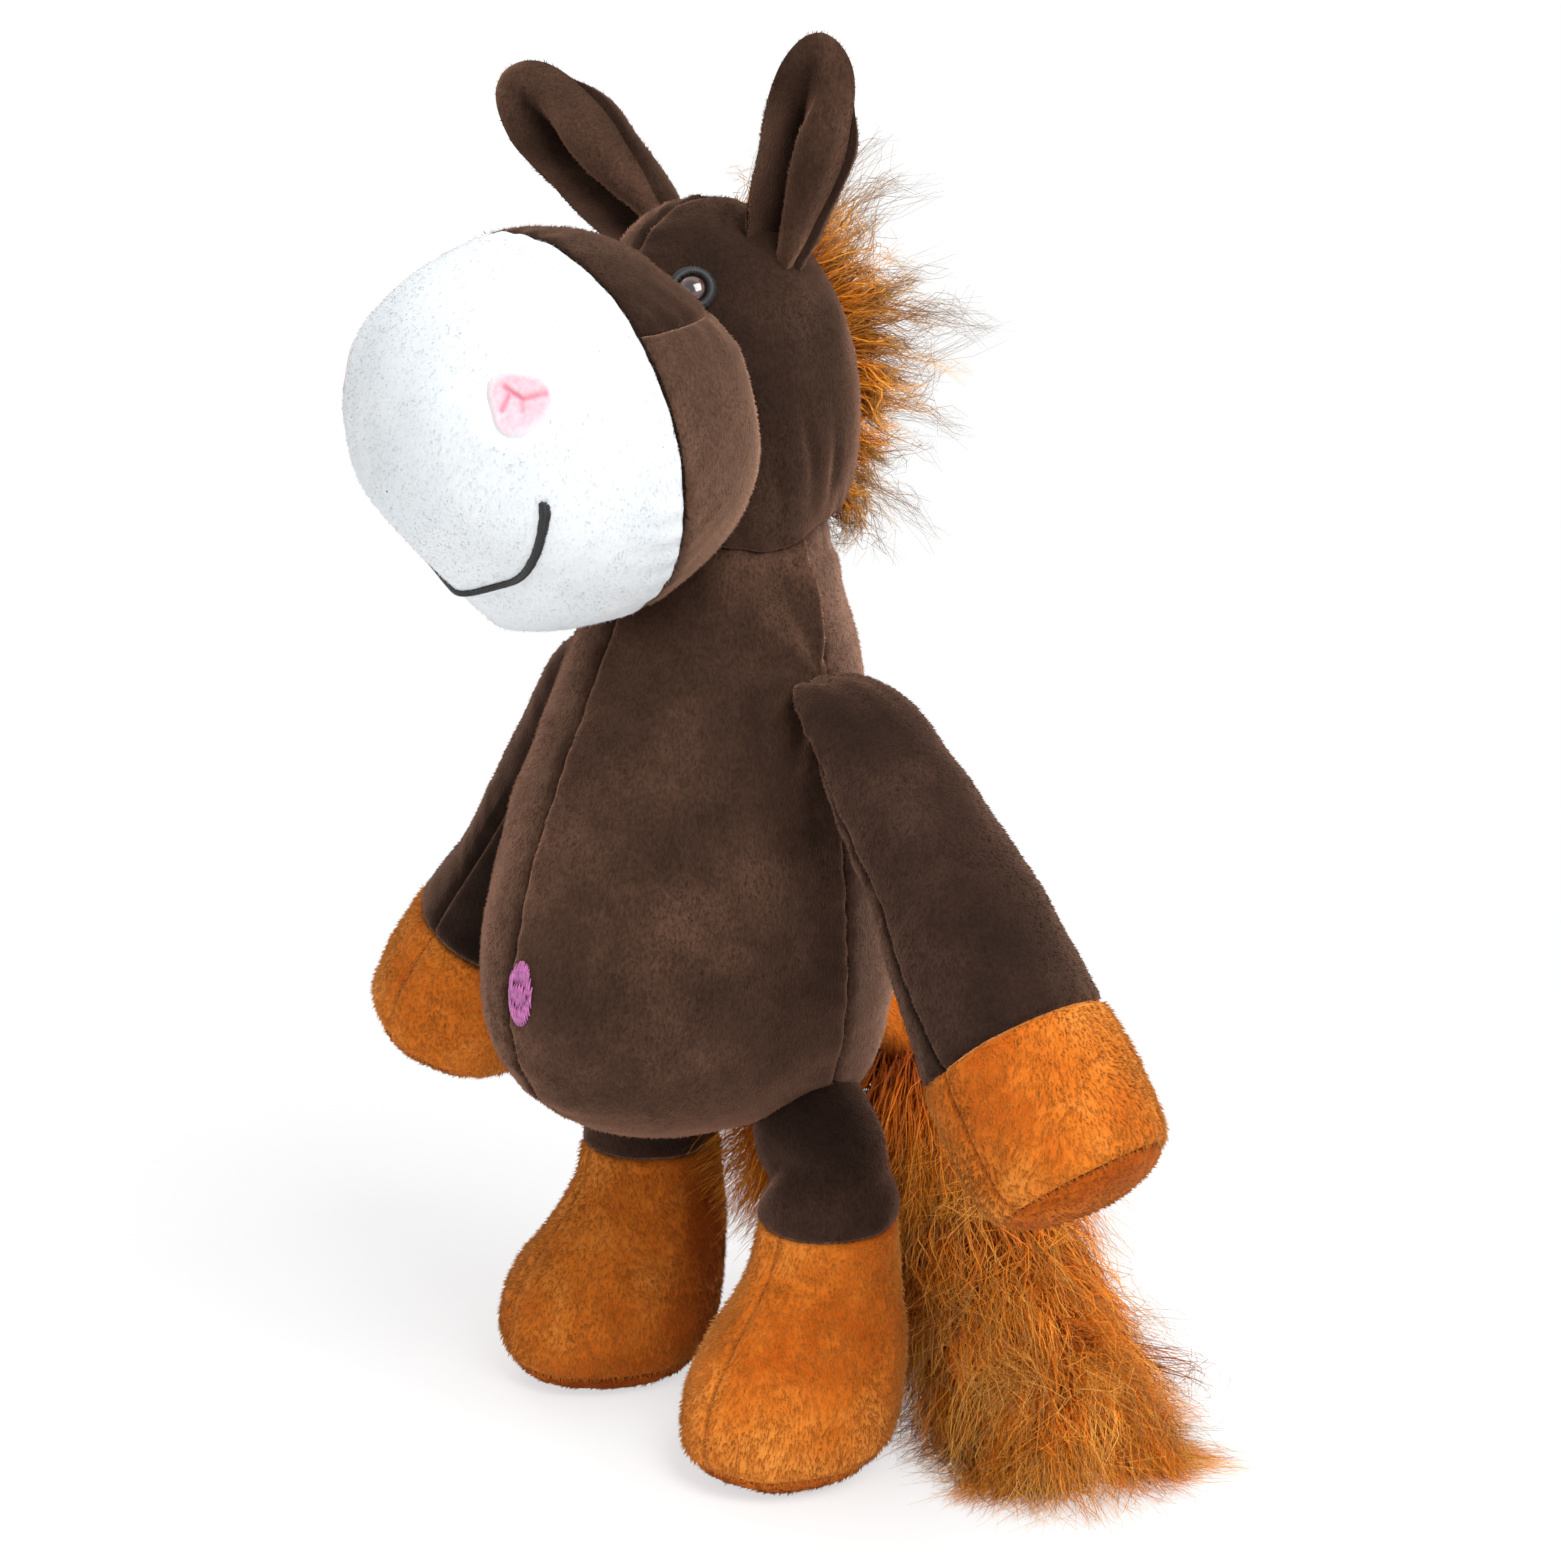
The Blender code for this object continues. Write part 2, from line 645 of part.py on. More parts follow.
def muzzle_cage():
    rings = [((0, 0, along), radius, radius) for along, radius in MUZZLE_RINGS]
    return lofted("muzzle_form", rings, MUZZLE_SIDES, (0, 0, MUZZLE_BACK), (0, 0, MUZZLE_FRONT))


def muzzle(body):
    """White cap and two brown sleeves over a ball of fill, open behind toward the head."""
    cage = muzzle_cage()
    surface = smooth_surface(cage)
    place = muzzle_axes()
    half = SEAM_GROOVE / 2
    tilt = math.radians(MUZZLE_DROP + SLEEVE_SEAM["slope"])
    up = Vector((0, math.cos(tilt), -math.sin(tilt)))
    seam = Vector((0, SLEEVE_SEAM["height"], 0))
    behind = ((0, 0, -WHITE_SEAM_BACK - half), (0, 0, 1))
    front = ((0, 0, -WHITE_SEAM_BACK + half), (0, 0, -1))
    cap = cloth("muzzle_face_panel", surface, (front,), WHITE, body, place)
    over, under = (behind, (seam + up * half, -up)), (behind, (seam - up * half, up))
    upper = cloth("muzzle_upper_sleeve", surface, over, HEAD_BROWN, body, place)
    lower = cloth("muzzle_lower_sleeve", surface, under, BROWN, body, place)
    throat = rod("throat", THROAT, 12, place @ Matrix.Translation((0, 0, (MUZZLE_BACK - 4) * MM)), 12)
    cut_all((upper, lower), throat)
    swell(soften(piece("muzzle_stuffing", cage, FILL, 1.0, body, place)), -CLOTH - FILL_GAP)
    for name, side in (("left", 1), ("right", -1)):
        nostril(name, side, cap, body)
    mouth(cap, body)


def cut_all(pieces, other):
    for obj in pieces:
        cut(obj, other)


def on_muzzle(azimuth, elevation, radius=MUZZLE_RADIUS):
    a, e = math.radians(azimuth), math.radians(elevation)
    return MUZZLE + Vector((math.cos(e) * math.sin(a), -math.cos(e) * math.cos(a), math.sin(e))) * radius


def nostril(name, side, cap, body):
    """A tucked pink spot let into the white cap."""
    point = on_muzzle(side * NOSTRIL["azimuth"], NOSTRIL["elevation"])
    normal = (point - MUZZLE).normalized()
    depth = NOSTRIL["depth"]
    floor = facing(point - normal * (depth + 0.35), normal)
    seat = lens(f"nostril_seat_{name}", NOSTRIL["width"] + 0.6, NOSTRIL["height"] + 0.6, 9)
    cut(cap, cutter(f"nostril_seat_{name}", seat, floor @ Matrix.Translation((0, 0, -SEAM_GAP * MM))))
    spot = lens(f"nostril_form_{name}", NOSTRIL["width"], NOSTRIL["height"], depth + 0.5)
    piece(f"nostril_{name}", spot, PINK, 0.8, body, floor)


def mouth(cap, body):
    """One line of black stitching, the same on both sides, in a groove of the white cap."""
    half = smooth_path([Vector((a, e, 0)) for a, e in MOUTH_HALF], 9)
    left = [on_muzzle(p.x, p.y, MUZZLE_RADIUS - 0.1) for p in half]
    right = [Vector((-p.x, p.y, p.z)) for p in left[1:]]
    line = list(reversed(right)) + left
    piece("mouth_embroidery", tube_mesh("mouth_embroidery", line, MOUTH_THREAD, False, 1), BLACK, 0.5, body)
    ends = [line[0] + (line[0] - line[1]) * 0.25] + line[1:-1] + [line[-1] + (line[-1] - line[-2]) * 0.25]
    groove = cutter("mouth_groove", tube_mesh("mouth_groove", ends, MOUTH_THREAD + 0.75, False, 0))
    cut(cap, groove)


def smooth_path(points, count):
    """Points spaced evenly by parameter on a Catmull-Rom curve through the given ones."""
    out = []
    for k in range(count):
        t = (len(points) - 1) * k / (count - 1)
        i = min(int(t), len(points) - 2)
        f = t - i
        p0, p1, p2, p3 = points[max(i - 1, 0)], points[i], points[i + 1], points[min(i + 2, len(points) - 1)]
        a = 2 * p1 + (p2 - p0) * f
        b = (2 * p0 - 5 * p1 + 4 * p2 - p3) * f * f
        c = (3 * p1 - p0 - 3 * p2 + p3) * f * f * f
        out.append((a + b + c) / 2)
    return out


def ear_frame(spec):
    """The ear's own frame: Z runs from root to tip and -Y is the way its hollow faces."""
    side = spec["side"]
    turn = Matrix.Rotation(math.radians(side * spec["turn"]), 4, "Z")
    lean = Matrix.Rotation(math.radians(side * spec["lean"]), 4, "Y")
    tip = Matrix.Rotation(math.radians(spec["forward"]), 4, "X")
    return Matrix.Translation(spec["root"] * MM) @ lean @ tip @ turn


def ear_leaf(name, push):
    """A leaf cupped about its length: width and cup follow the share of the length, as a bud that opens and closes."""
    rows, columns = 6, 4
    mesh = bpy.data.meshes.new(name)
    bm = bmesh.new()
    grid = []
    for i in range(rows):
        t = i / (rows - 1)
        wide = EAR_WIDTH / 2 * (0.40 + 2.1 * t * (1 - t) ** 0.8) * min(1, (1 - t) / 0.16 + 0.08)
        cup = EAR_CUP * wide
        row = []
        for j in range(columns):
            s = 2 * j / (columns - 1) - 1
            x, y = wide * s, cup * (0.85 - s * s) + push
            row.append(bm.verts.new((x * MM, y * MM, (EAR_LENGTH * t - 6) * MM)))
        grid.append(row)
    for a, b in zip(grid, grid[1:]):
        for j in range(columns - 1):
            bm.faces.new((a[j], a[j + 1], b[j + 1], b[j]))
    bm.to_mesh(mesh)
    bm.free()
    mesh.shade_smooth()
    return mesh


def ear(name, spec, body):
    frame = ear_frame(spec)
    axis = frame.to_3x3() @ Vector((0, 1, 0))
    near = []
    for end, angle in zip(("low", "high"), spec["bend"]):
        slant = Matrix.Translation(spec["root"] * MM) @ Matrix.Rotation(
            math.radians(spec["side"] * CROWN_SLANT), 4, "Y"
        )
        place = turned_about(spec["root"], axis, -angle) @ slant
        near.append(block(f"crown_for_ear_{name}_{end}", (-60, -60, -60), (60, 60, EAR_STANDOFF), place))
    for part, push, colour in (("back", 0.5 * SEAM_GAP, HEAD_BROWN), ("lining", -0.5 * SEAM_GAP, BROWN)):
        leaf = piece(f"ear_{name}_{part}", ear_leaf(f"ear_{part}_form", push), colour, 0.95, body, frame)
        soften(leaf)
        modifier = leaf.modifiers.new("cloth", "SOLIDIFY")
        modifier.thickness = EAR_CLOTH * MM
        modifier.offset = -1 if part == "back" else 1
        cut(leaf, *near)


def mane(body, form):
    """The backing strip that follows the head's centre line, and the crest of fur on it."""
    strip = swell(soften(piece("mane_strip", form, BACKING, 0.9, body)), SEAM_GAP + STRIP_THICK)
    skin(strip, STRIP_THICK)
    keep(strip, block("strip_place", (-STRIP_HALF, STRIP_FRONT_Y, 222), (STRIP_HALF, 200, 400)))
    crest = piece("mane_fur", mane_crest(), FUR_GOLD, 0.9, body)
    soften(crest)
    outside = swell(soften(cutter("head_under_mane", form)), STRIP_THICK + 2 * SEAM_GAP)
    cut(crest, outside)


def mane_crest():
    """Blades of fur fanned about the head's centre, from the crown round to the nape, their tips uneven."""
    centre = Vector((0, 4, 246))
    mesh = bpy.data.meshes.new("mane_form")
    bm = bmesh.new()
    rows = []
    for k in range(MANE_STEPS):
        angle = math.radians(MANE_FROM + (MANE_TO - MANE_FROM) * k / (MANE_STEPS - 1))
        out = Vector((0, math.sin(angle), math.cos(angle)))
        base = 26 + 12 * abs(math.cos(angle))
        reach = MANE_REACH[k] + base
        across = Vector((1, 0, 0))
        row = []
        for share, half in ((0, 0.7), (0.45, 1), (0.85, 0.75), (1, 0)):
            distance = base - 4 + (reach - base + 4) * share
            row.append((centre + out * distance, MANE_HALF * half))
        left = [bm.verts.new((p + across * h) * MM) for p, h in row[:-1]]
        right = [bm.verts.new((p - across * h) * MM) for p, h in row[:-1]]
        tip = bm.verts.new(row[-1][0] * MM)
        rows.append(left + [tip] + list(reversed(right)))
    count = len(rows[0])
    for a, b in zip(rows, rows[1:]):
        for j in range(count):
            n = (j + 1) % count
            bm.faces.new((a[j], a[n], b[n], b[j]))
    bm.faces.new(tuple(rows[0]))
    bm.faces.new(tuple(reversed(rows[-1])))
    bmesh.ops.recalc_face_normals(bm, faces=bm.faces)
    bm.to_mesh(mesh)
    bm.free()
    mesh.shade_smooth()
    return mesh


def arm_frame(spec):
    """The arm's own frame: -Z runs from shoulder to hoof and +X faces away from the flank."""
    forward = Matrix.Rotation(math.radians(-spec["forward"]), 4, "X")
    face = Matrix.Rotation(0 if spec["side"] > 0 else math.pi, 4, "Z")
    out = Matrix.Rotation(math.radians(-spec["out"]), 4, "Y")
    return Matrix.Translation(spec["shoulder"] * MM) @ forward @ face @ out


def arm(name, spec, form, body):
    """Outer and inner halves of sleeve and hoof, the sole, and the fill."""
    frame = arm_frame(spec)
    rings = [((offset, 0, -at), thick, wide) for at, offset, thick, wide in reversed(ARM_RINGS)]
    cage = lofted("arm_form", rings, ARM_SIDES, (0, 0, -ARM_ENDS[1]), (1.6, 0, -ARM_ENDS[0]))
    axis = frame.to_3x3() @ Vector((0, -1, 0))
    near = at_limits(f"torso_for_arm_{name}", form, spec["shoulder"], axis, spec["lift"])
    half = SEAM_GAP / 2
    split = ARM_SEAM_OFFSET
    spans = {
        "sleeve": (-CUFF_AT + half, 20),
        "hoof": (-ARM_SOLE_AT + half, -CUFF_AT - half),
    }
    for part, (low, high) in spans.items():
        colour = BROWN if part == "sleeve" else ORANGE
        outer = block(f"arm_{name}_{part}_out", (split + half, -60, low), (60, 60, high), frame)
        inner = block(f"arm_{name}_{part}_in", (-60, -60, low), (split - half, 60, high), frame)
        for face, region in (("outer", outer), ("inner", inner)):
            panel = skin(soften(piece(f"arm_{name}_{part}_{face}", cage, colour, 0.95, body, frame)))
            keep(panel, region)
            if part == "sleeve":
                cut(panel, *near)
    end = block(f"arm_{name}_end", (-60, -60, -150), (60, 60, -ARM_SOLE_AT - half), frame)
    keep(skin(soften(piece(f"arm_{name}_sole", cage, DEEP_ORANGE, 0.95, body, frame))), end)
    fill = swell(soften(piece(f"arm_{name}_stuffing", cage, FILL, 1.0, body, frame)), -CLOTH - FILL_GAP)
    keep(fill, block(f"arm_{name}_full", (-60, -60, -150), (60, 60, -FILL_TOP), frame))
    cut(fill, *near)


def hip_pockets(back, front):
    """Room in the torso for the legs' domed tops: in side view an arc about the hip between the two lines that the
    leg reaches at the ends of its swing, carried outward from each leg's inner side."""
    radius = LEG_RADIUS + CLEARANCE + 0.3
    depth = 50
    outline = [(radius * math.cos(a), radius * math.sin(a)) for a in arc(back, 180 - front, 10)]
    for tangent, angle in ((outline[-1], -front), (outline[0], back)):
        turn = math.radians(angle)
        outline.append((tangent[0] + depth * math.sin(turn), tangent[1] - depth * math.cos(turn)))
    bm = bmesh.new()
    for side in (-1, 1):
        loops = []
        for x in (HIP.x - radius, HIP.x + 30):
            loops.append([bm.verts.new(Vector((side * x, HIP.y + y, HIP.z + z)) * MM) for y, z in outline])
        for k in range(len(outline)):
            n = (k + 1) % len(outline)
            bm.faces.new((loops[0][k], loops[0][n], loops[1][n], loops[1][k]))
        for loop in loops:
            bm.faces.new(loop)
    bmesh.ops.recalc_face_normals(bm, faces=bm.faces)
    mesh = bpy.data.meshes.new("hip_pockets")
    bm.to_mesh(mesh)
    bm.free()
    return cutter("hip_pockets", mesh)


def leg(name, spec, body, floor):
    """The sleeve, the two boot halves, the sole and the fill."""
    side = spec["side"]
    hip = Vector((side * HIP.x, HIP.y, HIP.z))
    toe = Matrix.Rotation(math.radians(side * spec["toe_out"]), 4, "Z")
    frame = Matrix.Translation(Vector((hip.x, hip.y, 0)) * MM) @ toe
    rings = [((0, y, z), wide, deep) for z, y, wide, deep in LEG_RINGS]
    cage = lofted("leg_form", rings, LEG_SIDES, (0, -12.4, LEG_LOW), (0, 0, LEG_TOP))
    half = SEAM_GAP / 2
    sleeve = skin(soften(piece(f"leg_{name}_sleeve", cage, BROWN, 0.95, body, frame)))
    keep(sleeve, block(f"leg_{name}_above", (-60, -60, BOOT_TOP + half), (60, 60, 200), frame))
    faces = {
        "inner" if side > 0 else "outer": (-60, -half),
        "outer" if side > 0 else "inner": (half, 60),
    }
    for part, (low, high) in faces.items():
        region = block(
            f"leg_{name}_{part}", (low, -60, BOOT_SOLE + half), (high, 60, BOOT_TOP - half), frame
        )
        keep(skin(soften(piece(f"leg_{name}_boot_{part}", cage, ORANGE, 0.95, body, frame))), region)
    under = block(f"leg_{name}_under", (-60, -60, -20), (60, 60, BOOT_SOLE - half), frame)
    sole = skin(soften(piece(f"leg_{name}_sole", cage, DEEP_ORANGE, 0.95, body, frame)))
    cut(keep(sole, under), floor)
    swell(soften(piece(f"leg_{name}_stuffing", cage, FILL, 1.0, body, frame)), -CLOTH - FILL_GAP)


def tail(body, form, floor):
    """The plush stub at the back seam and the fur brush sewn round it."""
    path = [(x + TAIL_HINGE.x, y + TAIL_HINGE.y, z + TAIL_HINGE.z, r) for x, y, z, r in TAIL_STUB]
    stub = soften(piece("tail_root", swept("tail_root_form", path, 8, lambda i, a: 1.0), ORANGE, 0.95, body))
    near = at_limits("torso_for_tail", form, TAIL_HINGE, (1, 0, 0), TAIL_LIFT)
    cut(stub, *near)
    end = Vector(path[-1][:3])

    def locks(i, angle):
        return 1 + LOCK_DEPTH * math.cos(TAIL_LOCKS * angle + 1.3 * i)

    fur_path = [(x + end.x, y + end.y, z + end.z, r) for x, y, z, r in TAIL_FUR]
    fur = soften(piece("tail_fur", swept("tail_fur_form", fur_path, TAIL_SIDES, locks), FUR_GOLD, 0.9, body))
    socket = swell(soften(cutter("stub_room", swept("stub_room", path, 8, lambda i, a: 1.0))), SEAM_GAP)
    cut(fur, socket, floor)


def build():
    torso_body = empty("torso", Matrix())
    neck_body = empty("neck", Matrix.Translation(NECK * MM))
    head_body = empty("head", Matrix.Translation(NECK * MM))
    floor = block("floor", (-300, -300, -60), (300, 300, FLOOR))
    torso_form = torso(torso_body)
    neck(neck_body)
    skull = head_form()
    head(head_body, skull)
    muzzle(head_body)
    mane(head_body, skull)
    for name, spec in EARS.items():
        ear(name, spec, empty(f"ear_{name}", Matrix.Translation(spec["root"] * MM)))
    for name, spec in ARMS.items():
        arm(name, spec, torso_form, empty(f"arm_{name}", arm_frame(spec)))
    for name, spec in LEGS.items():
        place = Matrix.Translation(Vector((spec["side"] * HIP.x, HIP.y, HIP.z)) * MM)
        leg(name, spec, empty(f"leg_{name}", place), floor)
    tail(empty("tail", Matrix.Translation(TAIL_HINGE * MM)), torso_form, floor)
    centre_on_origin()


def centre_on_origin():
    """Puts the frame's origin on the floor under the middle of the whole object."""
    shift = Matrix.Translation(-MIDDLE * MM)
    bpy.context.view_layer.update()
    for obj in bpy.data.objects:
        if obj.parent is None:
            obj.matrix_world = shift @ obj.matrix_world


clear_scene()
PARTS = collection("Plush horse")
CUTTERS = collection("Cutters")
build()
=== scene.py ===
# Plush horse: the finished look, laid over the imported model. It faces -Y and its left side is +X.
# Shapes are worked out in millimetres from the torso's axis, and become metres when a mesh is made.
import math

import bpy
import numpy as np
from mathutils import Matrix, Vector


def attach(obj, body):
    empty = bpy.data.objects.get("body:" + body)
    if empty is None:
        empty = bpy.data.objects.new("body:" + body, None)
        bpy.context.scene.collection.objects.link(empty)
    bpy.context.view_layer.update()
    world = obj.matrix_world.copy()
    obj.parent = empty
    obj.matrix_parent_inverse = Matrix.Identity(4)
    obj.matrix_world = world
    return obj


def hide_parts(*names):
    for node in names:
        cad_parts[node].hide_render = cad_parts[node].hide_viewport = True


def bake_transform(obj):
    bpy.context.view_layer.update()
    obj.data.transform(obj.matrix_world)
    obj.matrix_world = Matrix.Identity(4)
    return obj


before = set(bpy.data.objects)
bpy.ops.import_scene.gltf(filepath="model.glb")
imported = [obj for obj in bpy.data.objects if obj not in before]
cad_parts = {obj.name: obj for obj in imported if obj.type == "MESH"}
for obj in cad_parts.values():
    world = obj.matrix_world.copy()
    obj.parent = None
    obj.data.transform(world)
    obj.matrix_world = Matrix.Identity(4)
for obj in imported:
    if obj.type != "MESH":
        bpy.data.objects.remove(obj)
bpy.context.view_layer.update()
random = np.random.default_rng(11)
floorHeight = 6.5  # of the soles, in the measure that the shapes are given in
middle = np.array([13.1, 0.3, floorHeight])  # the frame's origin in that measure


# Shared tools


def unit(v):
    return v / np.maximum(np.linalg.norm(v, axis=-1, keepdims=True), 1e-9)


def bSpline(controls, t):
    # Uniform cubic B-spline: four neighbouring control values blended by the basis cubics at parameter t
    controls = np.asarray(controls, float)
    i = np.clip(np.floor(t).astype(int), 0, len(controls) - 4)
    f = t - i
    basis = (
        (1 - f) ** 3 / 6, (3 * f**3 - 6 * f**2 + 4) / 6, (-3 * f**3 + 3 * f**2 + 3 * f + 1) / 6, f**3 / 6
    )
    shape = f.shape + (1,) * (controls.ndim - 1)
    return sum(b.reshape(shape) * controls[i + k] for k, b in enumerate(basis))


def ringed(centres, wide, deep):
    # A body from rings: centres, half widths and half depths, with a pole of no width at each end
    # Past each pole the rings are mirrored and the widths change sign, so the surface closes round.
    centres, wide, deep = (np.asarray(x, float) for x in (centres, wide, deep))
    c = np.concatenate([centres[1:2], centres, centres[-2:-1]])
    w = np.concatenate([-wide[1:2], wide, -wide[-2:-1]])
    d = np.concatenate([-deep[1:2], deep, -deep[-2:-1]])

    def at(angle, t):
        angle, t = np.broadcast_arrays(angle, t)
        p = bSpline(c, t)
        p[..., 0] += bSpline(w, t) * np.cos(angle)
        p[..., 1] += bSpline(d, t) * np.sin(angle)
        return p

    at.last = len(centres) - 1
    return at


def heightToRing(centres, z):
    # The ring parameter at which the body's centre line has height z, by interpolation in a fine table
    centres = np.asarray(centres, float)
    c = np.concatenate([centres[1:2], centres, centres[-2:-1]])
    t = np.linspace(0, len(centres) - 1, 400)
    heights = bSpline(c, t)[:, 2]
    order = np.argsort(heights)
    return np.interp(z, heights[order], t[order])


def normalsOf(p, outward):
    # Cross product of the two grid directions, turned to point away from the given centres
    du = np.gradient(p, axis=1)
    dv = np.gradient(p, axis=0)
    n = np.cross(du, dv)
    short = np.linalg.norm(n, axis=-1, keepdims=True) < 1e-7
    n = np.where(short, p - outward, n)
    n = unit(n)
    facing = np.sign(np.sum(n * (p - outward), axis=-1))
    return n * (1 if facing.mean() > 0 else -1)


def lumps(p, size, seed, waves=14):
    # Smooth uneven field from -1 to 1: sine waves of about that wavelength in random directions, added up
    r = np.random.default_rng(seed)
    k = unit(r.normal(size=(waves, 3))) * (2 * math.pi / size) * r.uniform(0.6, 1.5, (waves, 1))
    return np.sin(
        np.tensordot(p, k, axes=([-1], [1])) + r.uniform(0, 7, waves)
    ).sum(-1) / math.sqrt(waves / 2) / 2


def along(p, axis):
    # Length run so far along that direction of the grid, in millimetres
    step = np.linalg.norm(np.diff(p, axis=axis), axis=-1)
    zero = np.zeros_like(np.take(step, [0], axis=axis))
    return np.concatenate([zero, np.cumsum(step, axis=axis)], axis=axis)


def sewn(p, n, sides, depth=1.7, reach=2.6, pucker=0.35, seed=1):
    # Draws the cloth in at its sewn edges: a quarter circle down to the seam, with small gathers
    out = p.copy()
    across, up = along(p, 1), along(p, 0)
    runs = {
        "left": (across, up),
        "right": (across[:, -1:] - across, up),
        "low": (up, across),
        "high": (up[-1:, :] - up, across),
    }
    for side in sides:
        d, s = runs[side]
        near = np.clip(1 - d / reach, 0, 1)
        drop = depth * (1 - np.sqrt(np.clip(1 - near**2, 0, 1)))
        wave = s * 0.82 + 2.2 * np.sin(s * 0.13 + seed) + seed * 1.7
        gather = np.sin(wave) * np.exp(-d / 6.0) * np.clip(d / 1.5, 0, 1)
        out -= n * (drop - pucker * gather)[..., None]
    return out


def allowance(p, n, sides, depth=2.6):
    # Adds two rows past each sewn edge that run down into the body, as the cloth inside the seam does
    for side in sides:
        axis, first = {"left": (1, True), "right": (1, False), "low": (0, True), "high": (0, False)}[side]
        edge = np.take(p, [0 if first else -1], axis=axis)
        inner = np.take(n, [0 if first else -1], axis=axis)
        rows = [edge - inner * depth * f for f in (0.4, 1.0)]
        fill = [np.take(n, [0 if first else -1], axis=axis)] * 2
        p = np.concatenate(rows[::-1] + [p] if first else [p] + rows, axis=axis)
        n = np.concatenate(fill + [n] if first else [n] + fill, axis=axis)
    return p, n


def placed(p):
    return (np.asarray(p, float).reshape(-1, 3) - middle) / 1000


def meshOf(name, points, faces, materials, uv=None, smooth=True, uvName="UVMap", slots=None):
    # Arrays straight into a mesh: points in millimetres, faces as an array of corners
    mesh = bpy.data.meshes.new(name)
    points, faces = placed(points), np.asarray(faces, np.int32)
    mesh.vertices.add(len(points))
    mesh.vertices.foreach_set("co", points.astype(np.float32).ravel())
    mesh.loops.add(faces.size)
    mesh.loops.foreach_set("vertex_index", faces.ravel())
    mesh.polygons.add(len(faces))
    mesh.polygons.foreach_set("loop_start", np.arange(len(faces), dtype=np.int32) * faces.shape[1])
    mesh.polygons.foreach_set("loop_total", np.full(len(faces), faces.shape[1], np.int32))
    mesh.polygons.foreach_set("use_smooth", np.full(len(faces), smooth))
    if slots is not None:
        mesh.polygons.foreach_set("material_index", np.asarray(slots, np.int32))
    if uv is not None:
        layer = mesh.uv_layers.new(name=uvName)
        layer.data.foreach_set("uv", np.asarray(uv, np.float32)[faces.ravel()].ravel())
    mesh.update(calc_edges=True)
    obj = bpy.data.objects.new(name, mesh)
    bpy.context.scene.collection.objects.link(obj)
    for m in materials if isinstance(materials, (list, tuple)) else [materials]:
        mesh.materials.append(m)
    return obj


def gridFaces(rows, columns, closed=False):
    i = np.arange(rows * columns).reshape(rows, columns)
    if closed:
        i = np.concatenate([i, i[:, :1]], axis=1)
    return np.stack([i[:-1, :-1], i[:-1, 1:], i[1:, 1:], i[1:, :-1]], axis=-1).reshape(-1, 4)


def gridPiece(name, p, n, material, closed=False):
    # A grid of points as one sheet, its faces turned to the side that the normals point to
    rows, columns = p.shape[:2]
    faces = gridFaces(rows, columns, closed)
    flat = p.reshape(-1, 3)
    a, b, c, d = (flat[faces[:, k]] for k in range(4))
    facing = np.sum(np.cross(c - a, d - b) * n.reshape(-1, 3)[faces[:, 0]], axis=-1)
    if np.median(facing) < 0:
        faces = faces[:, ::-1]
    u = along(p, 1).reshape(-1) / 100
    v = along(p, 0).reshape(-1) / 100
    return meshOf(name, p, faces, material, uv=np.stack([u, v], axis=1))


def toned(look, tone, shade=0.0):
    # Where a tuft sits on its tone ramp, which runs from 0.073 to 1 of its colour
    return np.clip(
        ((look["dull"] + (1 - look["dull"]) * tone) * (1 - 0.7 * shade) - 0.073) / 0.927, 0.01, 0.99
    )


def pile(name, p, n, nap, look, seed, density=None, shade=None):
    # Short tufts over a sheet: random spots by area, each a three-sided spike laid over along the nap
    r = np.random.default_rng(seed)
    a, b, c, d = p[:-1, :-1], p[:-1, 1:], p[1:, 1:], p[1:, :-1]
    area = np.linalg.norm(np.cross(c - a, d - b), axis=-1).ravel() / 2
    count = int(area.sum() * (density or look["density"]))
    cell = r.choice(area.size, count, p=area / area.sum())
    row, column = np.divmod(cell, p.shape[1] - 1)
    fu, fv = r.random((2, count, 1))

    def between(g):
        low = g[row, column] * (1 - fu) + g[row, column + 1] * fu
        high = g[row + 1, column] * (1 - fu) + g[row + 1, column + 1] * fu
        return low * (1 - fv) + high * fv

    root, out = between(p), unit(between(n))
    dark = np.zeros(count) if shade is None else between(shade[..., None])[:, 0]
    wanted = root[:, 2] > floorHeight + 0.7
    root, out, dark = root[wanted], out[wanted], dark[wanted]
    count = len(root)
    field = lumps(root, 17, seed + 3) * 0.6 + lumps(root, 7, seed + 4) * 0.4
    flow = np.asarray(nap, float) if np.ndim(nap) == 1 else nap(root)
    flow = unit(flow - out * np.sum(flow * out, axis=-1, keepdims=True) + 1e-6)
    side = np.cross(out, flow)
    swirl = 0.5 * lumps(root, 23, seed + 5)[:, None] + r.normal(0, 0.28, (count, 1))
    flow = flow * np.cos(swirl) + side * np.sin(swirl)
    tilt = np.radians(look["tilt"] + 12 * field[:, None] + r.normal(0, 9, (count, 1)))
    way = unit(out * np.cos(tilt) + flow * np.sin(tilt))
    length = look["length"] * r.uniform(0.7, 1.25, (count, 1))
    tone = toned(look, np.clip(0.5 + 0.33 * field + r.normal(0, look["speckle"], count), 0, 1), dark)
    return spikes(
        name,
        root - out * 0.25,
        way,
        length,
        look["width"] / 2 * r.uniform(0.8, 1.25, (count, 1)),
        tone,
        look["material"],
        out,
    )


